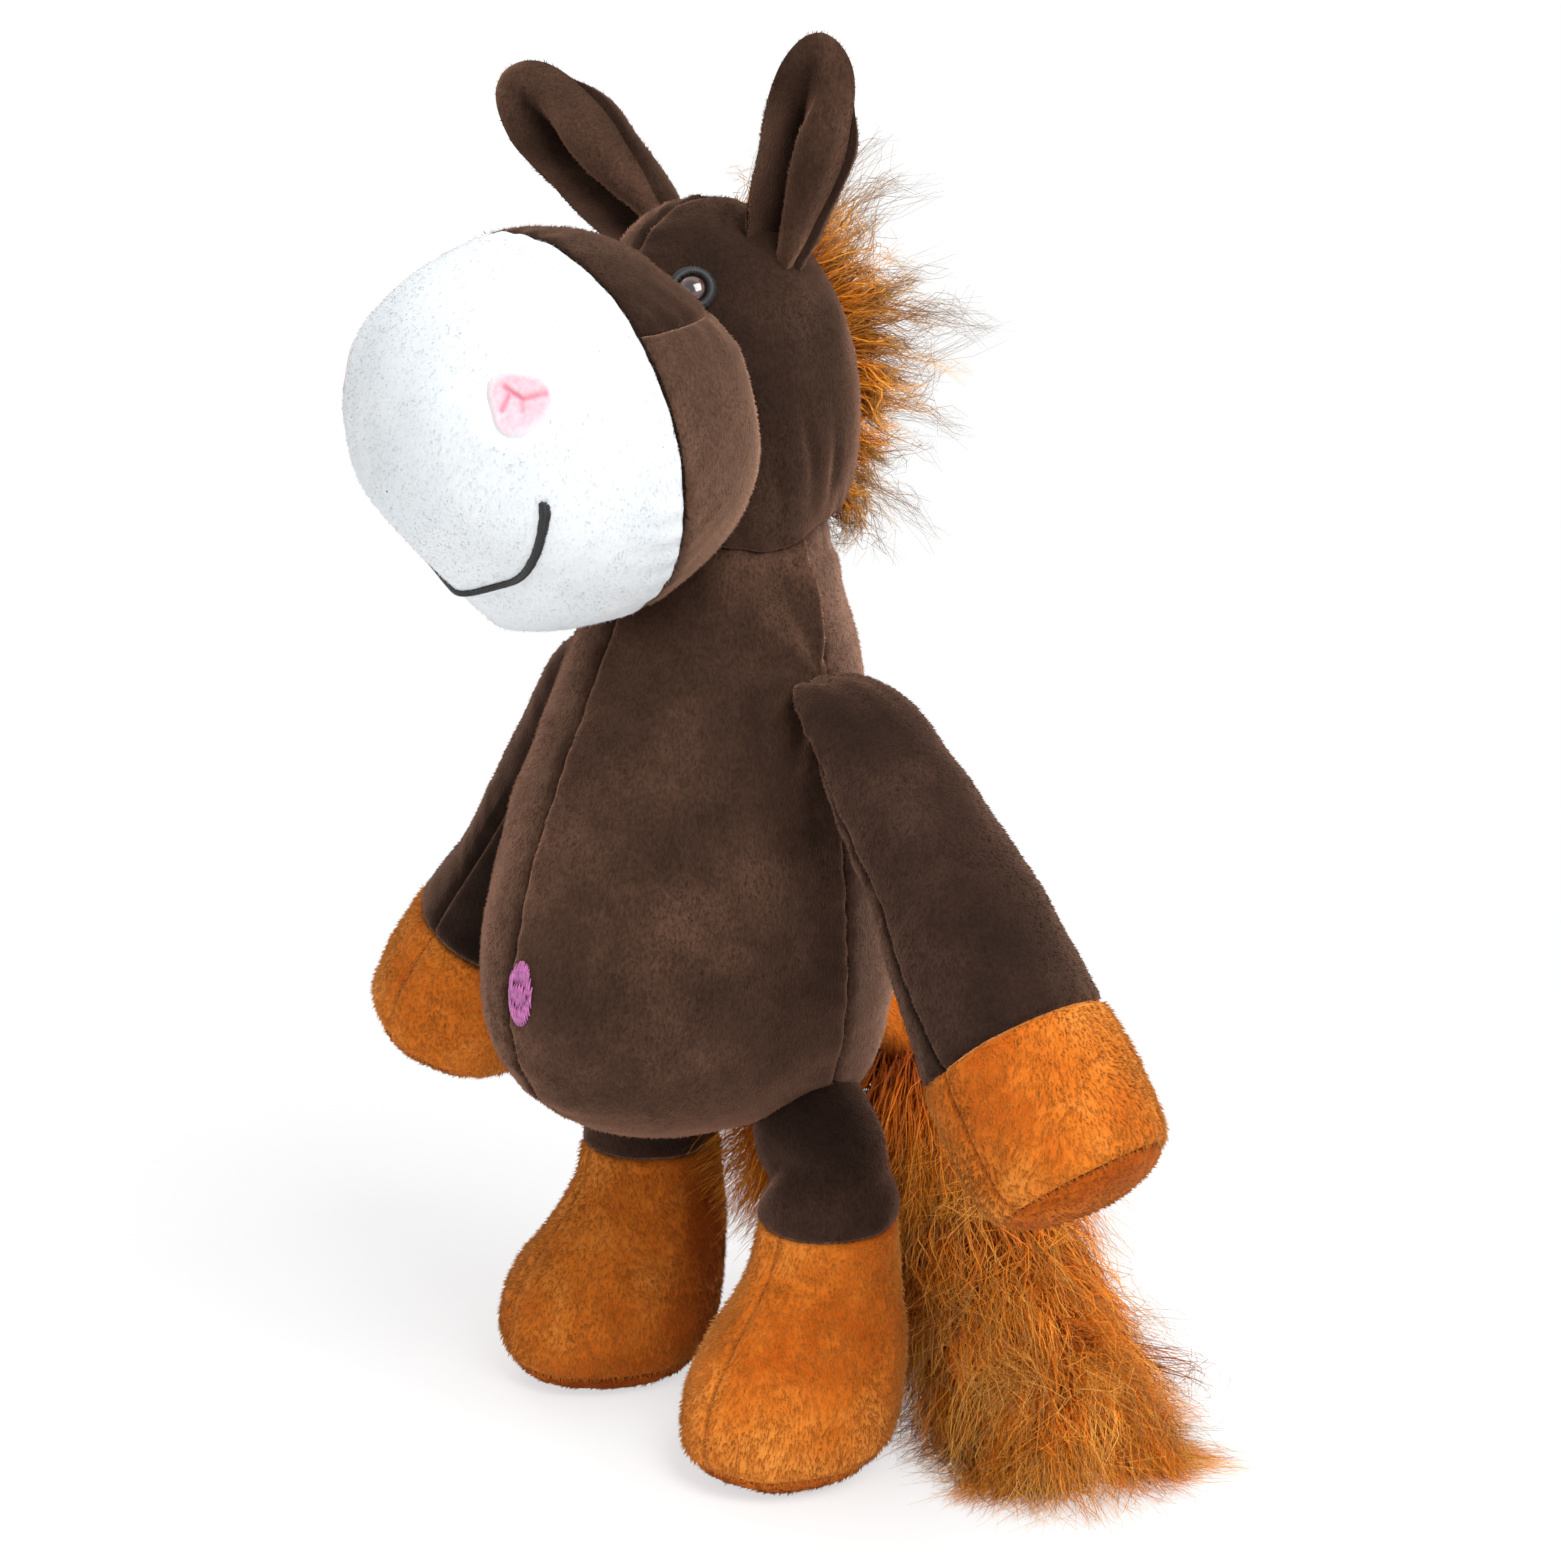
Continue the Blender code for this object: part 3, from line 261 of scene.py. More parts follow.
def spikes(name, root, way, length, radius, tone, material, out):
    # Each tuft is three faces from a small triangle to a point, lit as the cloth under it is
    count = len(root)
    helper = np.where(np.abs(way[:, 2:3]) > 0.9, np.array([[1.0, 0, 0]]), np.array([[0, 0, 1.0]]))
    x = unit(np.cross(way, helper))
    y = np.cross(way, x)
    turn = random.random((count, 1)) * 2 * math.pi
    corners = [
        root + (
            x * np.cos(turn + k * 2 * math.pi / 3) + y * np.sin(turn + k * 2 * math.pi / 3)
        ) * radius for k in range(3)
    ]
    points = np.stack(corners + [root + way * length], axis=1).reshape(-1, 3)
    start = np.arange(count)[:, None] * 4
    faces = np.concatenate(
        [start + np.array([[0, 1, 3]]), start + np.array([[1, 2, 3]]), start + np.array([[2, 0, 3]])]
    )
    uv = np.zeros((count, 4, 2))
    uv[:, :, 0] = tone[:, None] + np.array([[-0.004, 0.004, 0.0, 0.0]])
    uv[:, :3, 1], uv[:, 3, 1] = 0.03, 0.97
    obj = meshOf(name, points, faces, material, uv=uv.reshape(-1, 2), uvName="OFBake")
    obj.data.normals_split_custom_set_from_vertices(
        np.repeat(unit(out + way * 0.35), 4, axis=0).astype(np.float32)
    )
    return obj


def strands(name, guides, width, tone, material, roll=None):
    # Long hairs: each guide is a row of points, carried as a flat ribbon that narrows from root to tip
    count, steps = guides.shape[:2]
    run = unit(np.gradient(guides, axis=1))
    out = unit(random.normal(size=(count, 1, 3))) if roll is None else unit(roll)[:, None, :]
    side = unit(np.cross(run, np.broadcast_to(out, run.shape)))
    s = np.linspace(0, 1, steps)[None, :, None]
    half = np.asarray(width).reshape(-1, 1, 1) / 2 * (1 - 0.85 * s**1.5)
    points = np.stack([guides - side * half, guides + side * half], axis=2).reshape(-1, 3)
    base = np.arange(count)[:, None] * steps * 2 + np.arange(steps - 1)[None, :] * 2
    faces = np.stack([base, base + 1, base + 3, base + 2], axis=-1).reshape(-1, 4)
    uv = np.zeros((count, steps, 2, 2))
    uv[..., 0] = np.clip(tone, 0.02, 0.98)[:, None, None] + np.array([-0.004, 0.004])
    uv[..., 1] = 0.02 + 0.96 * s
    return meshOf(name, points, faces, material, uv=uv.reshape(-1, 2), uvName="OFBake")


def stitches(name, a, b, lift, radius, material, steps=5, sides=5):
    # Satin stitches: from each point a to its point b a thread that rises by lift in the middle
    t = np.linspace(0, 1, steps)[None, :, None]
    line = a[:, None] * (1 - t) + b[:, None] * t + lift[:, None] * (4 * t * (1 - t))
    run = unit(np.gradient(line, axis=1))
    x = unit(np.cross(run, lift[:, None] + 1e-6))
    y = np.cross(run, x)
    angle = np.arange(sides) * 2 * math.pi / sides
    thin = 1 - 0.55 * np.abs(2 * t - 1) ** 3
    ring = x[:, :, None] * np.cos(angle)[:, None] + y[:, :, None] * np.sin(angle)[:, None]
    tube = line[:, :, None] + ring * (radius * thin)[..., None]
    count = len(a)
    index = np.arange(count * steps * sides).reshape(count, steps, sides)
    wrap = np.concatenate([index, index[..., :1]], axis=2)
    faces = np.stack(
        [wrap[:, :-1, :-1], wrap[:, :-1, 1:], wrap[:, 1:, 1:], wrap[:, 1:, :-1]], axis=-1
    ).reshape(-1, 4)
    p = tube.reshape(-1, 3)
    mid = (p[faces[:, 0]] + p[faces[:, 2]]) / 2 - line.reshape(-1, 3)[faces[:, 0] // sides]
    if np.sum(np.cross(p[faces[:, 2]] - p[faces[:, 0]], p[faces[:, 3]] - p[faces[:, 1]]) * mid) < 0:
        faces = faces[:, ::-1]
    return meshOf(name, p, faces, material)


# Cloth, pile and thread


def linear(colour):
    return tuple(c / 12.92 if c <= 0.04045 else ((c + 0.055) / 1.055) ** 2.4 for c in colour) + (1.0,)


def shaderFor(name, roughness, sheen=0.0, sheenRoughness=0.4, sheenTint=(1, 1, 1), specular=0.5, coat=0.0):
    made = bpy.data.materials.new(name)
    made.use_nodes = True
    nodes, links = made.node_tree.nodes, made.node_tree.links
    shader = nodes["Principled BSDF"]
    for socket, value in (
        ("Roughness", roughness),
        ("Sheen Weight", sheen),
        ("Sheen Roughness", sheenRoughness),
        ("Sheen Tint", linear(sheenTint)),
        ("Specular IOR Level", specular),
        ("Coat Weight", coat),
    ):
        shader.inputs[socket].default_value = value
    return made, nodes, links, shader


def noiseOn(nodes, links, size, stretch=(1, 1, 1), detail=3.0, roughness=0.55, offset=0.0):
    # Noise whose features are about that many millimetres, stretched along the axes given
    coords = nodes.new("ShaderNodeTexCoord")
    mapping = nodes.new("ShaderNodeMapping")
    mapping.inputs["Scale"].default_value = [1000 / size / k for k in stretch]
    mapping.inputs["Location"].default_value = (offset, offset * 0.7, offset * 1.3)
    links.new(coords.outputs["Object"], mapping.inputs["Vector"])
    noise = nodes.new("ShaderNodeTexNoise")
    noise.inputs["Scale"].default_value = 1
    noise.inputs["Detail"].default_value = detail
    noise.inputs["Roughness"].default_value = roughness
    links.new(mapping.outputs["Vector"], noise.inputs["Vector"])
    return noise


def ramp(nodes, links, source, stops):
    made = nodes.new("ShaderNodeValToRGB")
    for element, (position, colour) in zip(made.color_ramp.elements, (stops[0], stops[-1])):
        element.position, element.color = position, linear(colour)
    for position, colour in stops[1:-1]:
        made.color_ramp.elements.new(position).color = linear(colour)
    links.new(source, made.inputs["Fac"])
    return made


def mixed(nodes, links, mode, factor, a, b):
    made = nodes.new("ShaderNodeMix")
    made.data_type, made.blend_type = "RGBA", mode
    for socket, value in ((made.inputs[0], factor), (made.inputs[6], a), (made.inputs[7], b)):
        if isinstance(value, (int, float, tuple)):
            socket.default_value = value
        else:
            links.new(value, socket)
    return made.outputs[2]


def plushCloth(name, dark, mid, light, sheen, bloom, fleck, bump, patches=24, grain=0.65, nap=(1, 1, 1.8)):
    # The cloth under the tufts: brushed patches, flecks of shadow between the tufts and a soft sheen
    made, nodes, links, shader = shaderFor(name, 0.95, sheen, 0.45, bloom, 0.1)
    broad = ramp(
        nodes,
        links,
        noiseOn(nodes, links, patches, detail=5, roughness=0.6).outputs["Fac"],
        ((0.34, dark), (0.5, mid), (0.66, light)),
    )
    fine = ramp(
        nodes, links, noiseOn(nodes, links, grain, nap, 2, 0.6, 3).outputs["Fac"], (
            (0.34, (0.5, 0.5, 0.5)), (0.62, (1, 1, 1))
        )
    )
    colour = mixed(nodes, links, "MULTIPLY", fleck, broad.outputs["Color"], fine.outputs["Color"])
    # Painted shade: the colour darkens toward 0.3 of itself where the sheet's shade attribute is set
    mark = nodes.new("ShaderNodeAttribute")
    mark.attribute_name = "shade"
    colour = mixed(nodes, links, "MULTIPLY", mark.outputs["Fac"], colour, (0.3, 0.3, 0.3, 1.0))
    links.new(colour, shader.inputs["Base Color"])
    relief = nodes.new("ShaderNodeBump")
    relief.inputs["Strength"].default_value = bump
    relief.inputs["Distance"].default_value = 0.0005
    links.new(noiseOn(nodes, links, grain * 0.8, nap, 2, 0.6, 5).outputs["Fac"], relief.inputs["Height"])
    links.new(relief.outputs["Normal"], shader.inputs["Normal"])
    return made


def hairMaterial(name, root, middleTone, tip, shift, sheen=0.3, roughness=0.9, bloom=None):
    # Hairs read their own map: V runs from root to tip, U is how dark or light the one hair is
    made, nodes, links, shader = shaderFor(name, roughness, sheen, 0.4, bloom or tip, 0.15)
    uv = nodes.new("ShaderNodeUVMap")
    uv.uv_map = "OFBake"
    apart = nodes.new("ShaderNodeSeparateXYZ")
    links.new(uv.outputs["UV"], apart.inputs["Vector"])
    length = ramp(nodes, links, apart.outputs["Y"], ((0.0, root), (0.45, middleTone), (1.0, tip)))
    tone = ramp(nodes, links, apart.outputs["X"], ((0.0, (shift[0],) * 3), (1.0, (shift[1],) * 3)))
    colour = mixed(nodes, links, "MULTIPLY", 1.0, length.outputs["Color"], tone.outputs["Color"])
    links.new(colour, shader.inputs["Base Color"])
    return made


plushLooks = {
    "brown": {
        "dark": (0.182, 0.122, 0.09),
        "mid": (0.245, 0.168, 0.127),
        "light": (0.322, 0.227, 0.178),
        "sheen": 0.9,
    },
    # a shaded copy of the brown cloth: painted shade on the arms and leg sleeves
    "shadedBrown": {
        "dark": (0.148, 0.097, 0.073),
        "mid": (0.195, 0.13, 0.1),
        "light": (0.25, 0.173, 0.137),
        "sheen": 0.8,
    },
    "headBrown": {
        "dark": (0.142, 0.093, 0.067),
        "mid": (0.185, 0.123, 0.09),
        "light": (0.237, 0.165, 0.125),
        "sheen": 0.75,
    },
    # a lit copy of the brown cloth: painted light on the muzzle's lower sleeve
    "litBrown": {
        "dark": (0.27, 0.19, 0.148),
        "mid": (0.322, 0.23, 0.182),
        "light": (0.372, 0.27, 0.217),
        "sheen": 0.9,
    },
    "paleBrown": {
        "dark": (0.345, 0.25, 0.203),
        "mid": (0.395, 0.288, 0.238),
        "light": (0.445, 0.33, 0.277),
        "sheen": 0.8,
    },
    "orange": {
        "dark": (0.77, 0.36, 0.075), "mid": (0.85, 0.46, 0.135), "light": (0.91, 0.57, 0.24), "sheen": 0.35
    },
    "deepOrange": {
        "dark": (0.54, 0.22, 0.035), "mid": (0.66, 0.3, 0.06), "light": (0.76, 0.4, 0.12), "sheen": 0.3
    },
    "white": {
        "dark": (0.83, 0.85, 0.867),
        "mid": (0.842, 0.86, 0.873),
        "light": (0.873, 0.888, 0.899),
        "sheen": 0.1,
    },
}
blooms = {
    "brown": (0.74, 0.55, 0.45),
    "shadedBrown": (0.7, 0.53, 0.44),
    "headBrown": (0.66, 0.49, 0.4),
    "litBrown": (0.76, 0.59, 0.49),
    "paleBrown": (0.8, 0.63, 0.53),
    "orange": (1.0, 0.75, 0.45),
    "deepOrange": (0.95, 0.65, 0.35),
    "white": (1.0, 1.0, 1.0),
}
# how dark the flecks are, and how strong the relief
flecks = {"white": (0.05, 0.08), "orange": (0.22, 0.25), "deepOrange": (0.25, 0.25)}
shortPile = {"length": 0.95, "width": 0.29, "density": 1.95, "tilt": 52, "speckle": 0.14, "dull": 0.45}
pileLooks = {
    # dull is the share of its colour that the darkest tuft keeps
    **{key: dict(shortPile) for key in ("brown", "shadedBrown", "headBrown", "litBrown")},
    "paleBrown": {"length": 0.95, "width": 0.27, "density": 2.0, "tilt": 52, "speckle": 0.12, "dull": 0.5},
    "orange": {"length": 1.7, "width": 0.36, "density": 2.3, "tilt": 50, "speckle": 0.16, "dull": 0.62},
    "deepOrange": {"length": 1.3, "width": 0.36, "density": 2.0, "tilt": 56, "speckle": 0.14, "dull": 0.62},
    "white": {"length": 0.85, "width": 0.24, "density": 1.2, "tilt": 55, "speckle": 0.1, "dull": 0.93},
}


def dyed(colour, k):
    return tuple(min(1.0, c * k) for c in colour)


cloth = {}
for key, tones in plushLooks.items():
    fleck, bump = flecks.get(key, (0.5, 0.4))
    cloth[key] = plushCloth(
        f"{key}Plush", tones["dark"], tones["mid"], tones["light"], tones["sheen"], blooms[key], fleck, bump
    )
    pale = key == "white"
    pileLooks[key]["material"] = hairMaterial(
        f"{key}Pile",
        dyed(tones["mid"], 0.98 if pale else 0.82),
        tones["mid"],
        dyed(tones["light"], 1.0 if pale else 1.1),
        (0.3, 1.0),
        tones["sheen"],
        bloom=blooms[key],
    )
print("cloth and pile ready")


def thread(name, colour, sheen=0.3, roughness=0.45):
    # Embroidery thread: a little darker and lighter along its length, with a silky gloss
    made, nodes, links, shader = shaderFor(name, roughness, sheen, 0.3, dyed(colour, 1.25), 0.5)
    tone = ramp(
        nodes,
        links,
        noiseOn(nodes, links, 1.1, detail=2).outputs["Fac"],
        ((0.3, dyed(colour, 0.78)), (0.7, dyed(colour, 1.12))),
    )
    links.new(tone.outputs["Color"], shader.inputs["Base Color"])
    return made


blackThread = thread("blackThread", (0.085, 0.085, 0.09), 0.15)
magentaThread = thread("magentaThread", (0.68, 0.38, 0.6), 0.25)


# Torso

torsoShape = {
    "rings": (
        (82.5, -2, 21, 29),
        (94, -3.6, 33.5, 45.5),
        (112, -4.3, 38.2, 52),
        (136, -3.1, 37.7, 49),
        (162, -0.2, 34.6, 41.5),
        (186, 2.4, 30.6, 32.8),
        (205, 5.3, 24.8, 25.2),
        (219, 6.5, 21.5, 21.5),
    ),
    "low": (79.3, -2),
    "high": (230, 6.5),
    "sideSeamY": 11,
    "neckSeam": ((-18, 214.9), (30, 216.9)),  # the plane of the neck seam as (Y, Z) in front and behind
}
muzzleBall = {"centre": np.array([0, -39.5, 240.0]), "radius": 42.3, "drop": 11.0}


def upright(shape):
    # Rings given as (height, centre Y, half width, half depth) with a pole below and above
    low, high = shape["low"], shape["high"]
    centres = [(0, low[1], low[0])] + [(0, y, z) for z, y, _, _ in shape["rings"]] + [(0, high[1], high[0])]
    wide = [0] + [w for _, _, w, _ in shape["rings"]] + [0]
    deep = [0] + [d for _, _, _, d in shape["rings"]] + [0]
    return ringed(centres, wide, deep), np.array(centres, float)


def onPlane(surface, centres, angle, plane):
    # The ring parameter at which the surface meets a plane that slopes with Y
    (y0, z0), (y1, z1) = plane
    slope = (z1 - z0) / (y1 - y0)
    t = heightToRing(centres, np.full_like(angle, (z0 + z1) / 2))
    for _ in range(4):
        t = heightToRing(centres, z0 + slope * (surface(angle, t)[..., 1] - y0))
    return t


def centreLine(p, x=0.0, y=0.0):
    c = p.copy()
    c[..., 0], c[..., 1] = x, y
    return c


torsoSurface, torsoCentres = upright(torsoShape)


def torsoGrid(fromAngle, toAngle, rows, columns):
    # The angle runs between the panel's two seams, and the ring parameter up to the neck seam
    v = np.linspace(0, 1, rows)[:, None]
    u = np.linspace(0, 1, columns)[None, :]
    t = v * torsoSurface.last
    for _ in range(3):
        angle = fromAngle(t) + (toAngle(t) - fromAngle(t)) * u
        top = onPlane(torsoSurface, torsoCentres, angle, torsoShape["neckSeam"])
        t = 0.03 + (top - 0.03) * v**0.92
    return torsoSurface(angle, t), angle, t


def sideAngle(t):
    # Where the side seam's plane meets the ring at this parameter, as an angle from the left side
    c = np.concatenate([torsoCentres[1:2], torsoCentres, torsoCentres[-2:-1]])
    d = [-torsoShape["rings"][0][3], 0] + [
        r[3] for r in torsoShape["rings"]
    ] + [0, -torsoShape["rings"][-1][3]]
    reachY = (torsoShape["sideSeamY"] - bSpline(c, t)[..., 1]) / np.maximum(bSpline(d, t), 0.5)
    return np.arcsin(np.clip(reachY, -1, 1))


def sagged(p):
    # The neck seam dips under each cheek: a lowering that both sides of the seam share
    dip = 2.6 * np.exp(-(((p[..., 1] - 1) / 9) ** 2)) - 1.2 * np.exp(-(((p[..., 1] - 20) / 8) ** 2))
    out = p.copy()
    out[..., 2] -= dip * np.exp(-(((p[..., 2] - 215) / 9) ** 2))
    return out


def pressed(p):
    # The muzzle's ball presses its own round into the cloth below it, on both sides of the neck seam
    gap = p - muzzleBall["centre"]
    inside = np.clip(muzzleBall["radius"] + 0.6 - np.linalg.norm(gap, axis=-1), 0, None)
    return p + unit(gap) * (inside * np.clip((218 - p[..., 2]) / 6, 0, 1))[..., None]


def torsoShaped(p, n):
    # Brushed lumps of the fill, the pull from the shoulder and the folds under the neck
    soft = 0.55 * lumps(p, 46, 3) + 0.3 * lumps(p, 21, 4)
    for side in (1, -1):
        shoulder = np.array([side * 33.0, 7.5, 184.5])
        away = p - shoulder
        d = np.linalg.norm(away, axis=-1)
        angle = np.arctan2(away[..., 2], -away[..., 1])
        soft -= 0.5 * np.exp(-((d / 9.0) ** 2))
        soft += 1.1 * np.cos(angle * 7) * np.exp(-(((d - 17) / 9.0) ** 2)) * (away[..., 1] < 4)
    for z, depth, width in ((208, 0.9, 2.4), (200, 0.6, 3.2)):
        wave = z + 1.5 * np.sin(p[..., 0] * 0.12) + 0.8 * np.sin(p[..., 1] * 0.2)
        soft -= depth * np.exp(-(((p[..., 2] - wave) / width) ** 2)) * (
            0.6 + 0.4 * np.sin(p[..., 0] * 0.1 + 1)
        )
    turn = np.arctan2(p[..., 1] + 3, np.abs(p[..., 0]))
    soft += 4.0 * np.exp(-(((p[..., 2] - 91) / 11) ** 2) - ((turn - 0.75) / 0.42) ** 2)
    return pressed(sagged(p + n * soft[..., None]))


def torsoPaintedShade(p):
    # Painted shade: darker along the flanks below the arms, toward the foot of the torso, and a little over
    # most of the right panel
    turn = np.arctan2(p[..., 1], np.abs(p[..., 0]))
    z = p[..., 2]
    level = np.clip((188 - z) / 22, 0, 1) * np.clip((z - 92) / 22, 0, 1)
    flank = 0.5 * np.clip((turn + 0.55) / 0.5, 0, 1) * np.clip((1.0 - turn) / 0.35, 0, 1) * level
    foot = 0.3 * np.clip((100 - z) / 14, 0, 1)
    farFront = 0.16 * (p[..., 0] < 0) * (p[..., 1] < 8)
    return flank + foot + farFront


def down(root):
    return np.tile([0.0, 0.0, -1.0], (len(root), 1))


def panel(
    name,
    p,
    centre,
    clothName,
    sides,
    nap,
    seed,
    shaped=None,
    pucker=0.35,
    depth=1.7,
    density=None,
    shade=None,
    reach=2.6,
):
    # One cut of cloth: a grid shaped, drawn in at the seams and given tufts, as [sheet, tufts]
    n = normalsOf(p, centre)
    if shaped is not None:
        p = shaped(p, n)
        n = normalsOf(p, centre)
    p = sewn(p, n, sides, depth, reach, pucker, seed)
    n = normalsOf(p, centre)
    tufts = pile(name + "Pile", p, n, nap, pileLooks[clothName], seed, density, shade and shade(p))
    p, n = allowance(p, n, sides)
    sheet = gridPiece(name, p, n, cloth[clothName])
    if shade:
        marked(sheet, shade(p))
    return [sheet, tufts]


def marked(sheet, values, name="shade"):
    layer = sheet.data.attributes.new(name, "FLOAT", "POINT")
    layer.data.foreach_set("value", np.broadcast_to(values, values.shape).astype(np.float32).ravel())


def dress(made, *nodes, slot=None):
    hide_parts(*nodes)
    return made


front = -math.pi / 2
grids = {
    "Left": torsoGrid(lambda t: np.full_like(t, front), sideAngle, 190, 96),
    "Back": torsoGrid(sideAngle, lambda t: math.pi - sideAngle(t), 190, 90),
}
grids["Right"] = (grids["Left"][0] * np.array([-1, 1, 1]),) + grids["Left"][1:]
torsoPieces = []
for side, sides, tone, node in (
    ("Left", ("left", "right", "high"), "brown", "torso_left_panel"),
    ("Right", ("left", "right", "high"), "brown", "torso_right_panel"),
    ("Back", ("left", "right", "high"), "paleBrown", "torso_back_panel"),
):
    p = grids[side][0]
    made = panel(
        f"torso{side}Panel",
        p,
        centreLine(p, 0, 0),
        tone,
        sides,
        down,
        21 + len(torsoPieces),
        torsoShaped,
        shade=torsoPaintedShade,
    )
    slotName = "pale_brown_plush" if side == "Back" else "brown_plush"
    dress(made, node, *(["torso_stuffing"] if side == "Back" else []), slot=slotName)
    torsoPieces += made


def bent(pieces, start, end):
    for obj in pieces:
        placed(start)[0]
        placed(end)[0]
        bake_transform(obj)


bent(torsoPieces, (0, 6, 190), (0, 6, 213))
print("torso sewn")


# Head

headShape = {
    "rings": (
        (207, 6.5, 19, 19),
        (219, 5.8, 26.6, 27.3),
        (233, 4.8, 30.2, 31.2),
        (248, 4.3, 29.6, 31),
        (262, 3.6, 25.9, 27.7),
        (274, 2.4, 18.8, 20.6),
        (281.8, 1, 10.4, 12.6),
    ),
    "low": (203, 6.5),
    "high": (285.6, 0.5),
    "neckSeam": ((-18, 212.8), (30, 214.8)),
    "joinBack": -25.2,  # where the muzzle's flat back lies on its axis
}
headSurface, headCentres = upright(headShape)
dropAngle = math.radians(muzzleBall["drop"])
muzzleForward = np.array([0, -math.cos(dropAngle), -math.sin(dropAngle)])
muzzleUp = np.array([0, -math.sin(dropAngle), math.cos(dropAngle)])
muzzleSide = np.cross(muzzleUp, muzzleForward)


def headShaped(p, n):
    # Soft lumps, the creases beside the cheek, and a flat front where the muzzle is sewn on
    soft = 0.4 * lumps(p, 40, 13) + 0.22 * lumps(p, 18, 14)
    for x, y, z, depth, lean in ((27, 6, 233, 0.8, 0.25), (25, 14, 229, 0.7, 0.1), (27, -2, 228, 0.6, 0.3)):
        for side in (1, -1):
            away = p - np.array([side * x, y, z])
            line = away[..., 1] + lean * away[..., 2]
            soft -= depth * np.exp(-((line / 1.6) ** 2) - (away[..., 2] / 9) ** 2) * (p[..., 0] * side > 0)
    out = pressed(sagged(p + n * soft[..., None]))
    ahead = (out - muzzleBall["centre"]) @ muzzleForward - (headShape["joinBack"] + 1.0)
    return out - muzzleForward * np.clip(ahead, 0, None)[..., None]


def headGrid(rows, columns):
    v = np.linspace(0, 1, rows)[:, None]
    u = np.linspace(0, 1, columns)[None, :]
    angle = front + math.pi * u + 0 * v
    low = onPlane(headSurface, headCentres, angle, headShape["neckSeam"])
    t = low + (headSurface.last - 0.02 - low) * v
    return headSurface(angle, t)


def backward(root):
    return unit(np.stack([np.zeros(len(root)), np.full(len(root), 0.75), np.full(len(root), -0.6)], axis=1))


headPieces = []
grid = headGrid(130, 130)
for side, flip in (("Left", 1), ("Right", -1)):
    p = grid * np.array([flip, 1, 1])
    made = panel(
        f"head{side}Panel",
        p,
        centreLine(p, 0, 3),
        "headBrown",
        ("left", "right", "low"),
        backward,
        41 + flip,
        headShaped,
        pucker=0.3,
    )
    dress(
        made,
        f"head_{side.lower()}_panel",
        *(["head_stuffing"] if side == "Left" else []),
        slot="dark_brown_plush",
    )
    headPieces += made
bent(headPieces, (0, 6, 215), (0, 6, 232))
print("head sewn")


# Muzzle

muzzleShape = {
    # distance from the ball's centre along its axis, and radius
    "rings": (
        (-24.9, 24.5),
        (-21.6, 33.6),
        (-12, 40.2),
        (1, 42.3),
        (14, 40),
        (26, 33.6),
        (35.5, 23.5),
        (40.6, 12),
    ),
    "back": -25.2,
    "front": 42.6,
    "whiteSeam": -1.5,
    "sleeveSeam": 24.0,
}
axisPlaces = [muzzleShape["back"], *(a for a, _ in muzzleShape["rings"]), muzzleShape["front"]]
axisCentres = [(0, 0, a) for a in axisPlaces]
axisRadii = [0] + [r for _, r in muzzleShape["rings"]] + [0]
muzzleSurface = ringed(axisCentres, axisRadii, axisRadii)
muzzleAxes = np.stack([muzzleSide, muzzleUp, muzzleForward], axis=1)


def muzzlePlaced(p):
    return p @ muzzleAxes.T + muzzleBall["centre"]


def muzzleGrid(low, high, start, end, rows, columns):
    # The angle runs round the muzzle's own axis and the ring parameter runs forward along it
    v = np.linspace(0, 1, rows)[:, None]
    u = np.linspace(0, 1, columns)[None, :]
    t = low + (high - low) * v + 0 * u
    return muzzlePlaced(muzzleSurface(start(t) + (end(t) - start(t)) * u, t))


def onMuzzle(azimuth, elevation, radius=42.0):
    a, e = np.radians(azimuth), np.radians(elevation)
    away = np.stack([np.cos(e) * np.sin(a), -np.cos(e) * np.cos(a), np.sin(e)], axis=-1)
    return muzzleBall["centre"] + away * np.asarray(radius)[..., None]


nostrilShape = {"azimuth": 44, "elevation": 17, "half": 7.2, "dimple": 1.5}


def muzzleShaped(p, n):
    # Soft lumps, dimples at the tucked nostrils and a small point at the chin where the cap's darts end
    soft = 0.45 * lumps(p, 48, 31) + 0.2 * lumps(p, 22, 32)
    for side in (1, -1):
        spot = onMuzzle(side * nostrilShape["azimuth"], nostrilShape["elevation"])
        d = np.linalg.norm(p - spot, axis=-1)
        soft -= nostrilShape["dimple"] * np.exp(-((d / 5.2) ** 2)) - 0.35 * np.exp(-(((d - 9) / 3) ** 2))
        soft += 1.7 * np.exp(-((d / 17) ** 2))
    chin = onMuzzle(0, -62, 43.0)
    soft += 1.6 * np.exp(-((np.linalg.norm(p - chin, axis=-1) / 13) ** 2))
    out = p + n * soft[..., None]
    away = out - muzzleBall["centre"]
    back = np.clip((-4 - away @ muzzleForward) / 16, 0, 1)
    high = away @ muzzleUp / 42
    reach = np.clip((0.8 - high) / 0.5, 0.2, 1) * (1 - 0.5 * np.clip((-0.35 - high) / 0.4, 0, 1))
    out = out - muzzleForward * (7.0 * back**2 * (3 - 2 * back) * reach)[..., None]
    for azimuth, flat in ((-29, 5.6), (27, 2.2)):
        way = unit(onMuzzle(azimuth, -43) - muzzleBall["centre"])
        over = (out - muzzleBall["centre"]) @ way - (muzzleBall["radius"] - flat)
        out = out - way * (0.9 * np.log1p(np.exp(over / 0.9)))[..., None]
    return out


seamRing = float(heightToRing(axisCentres, muzzleShape["whiteSeam"]))


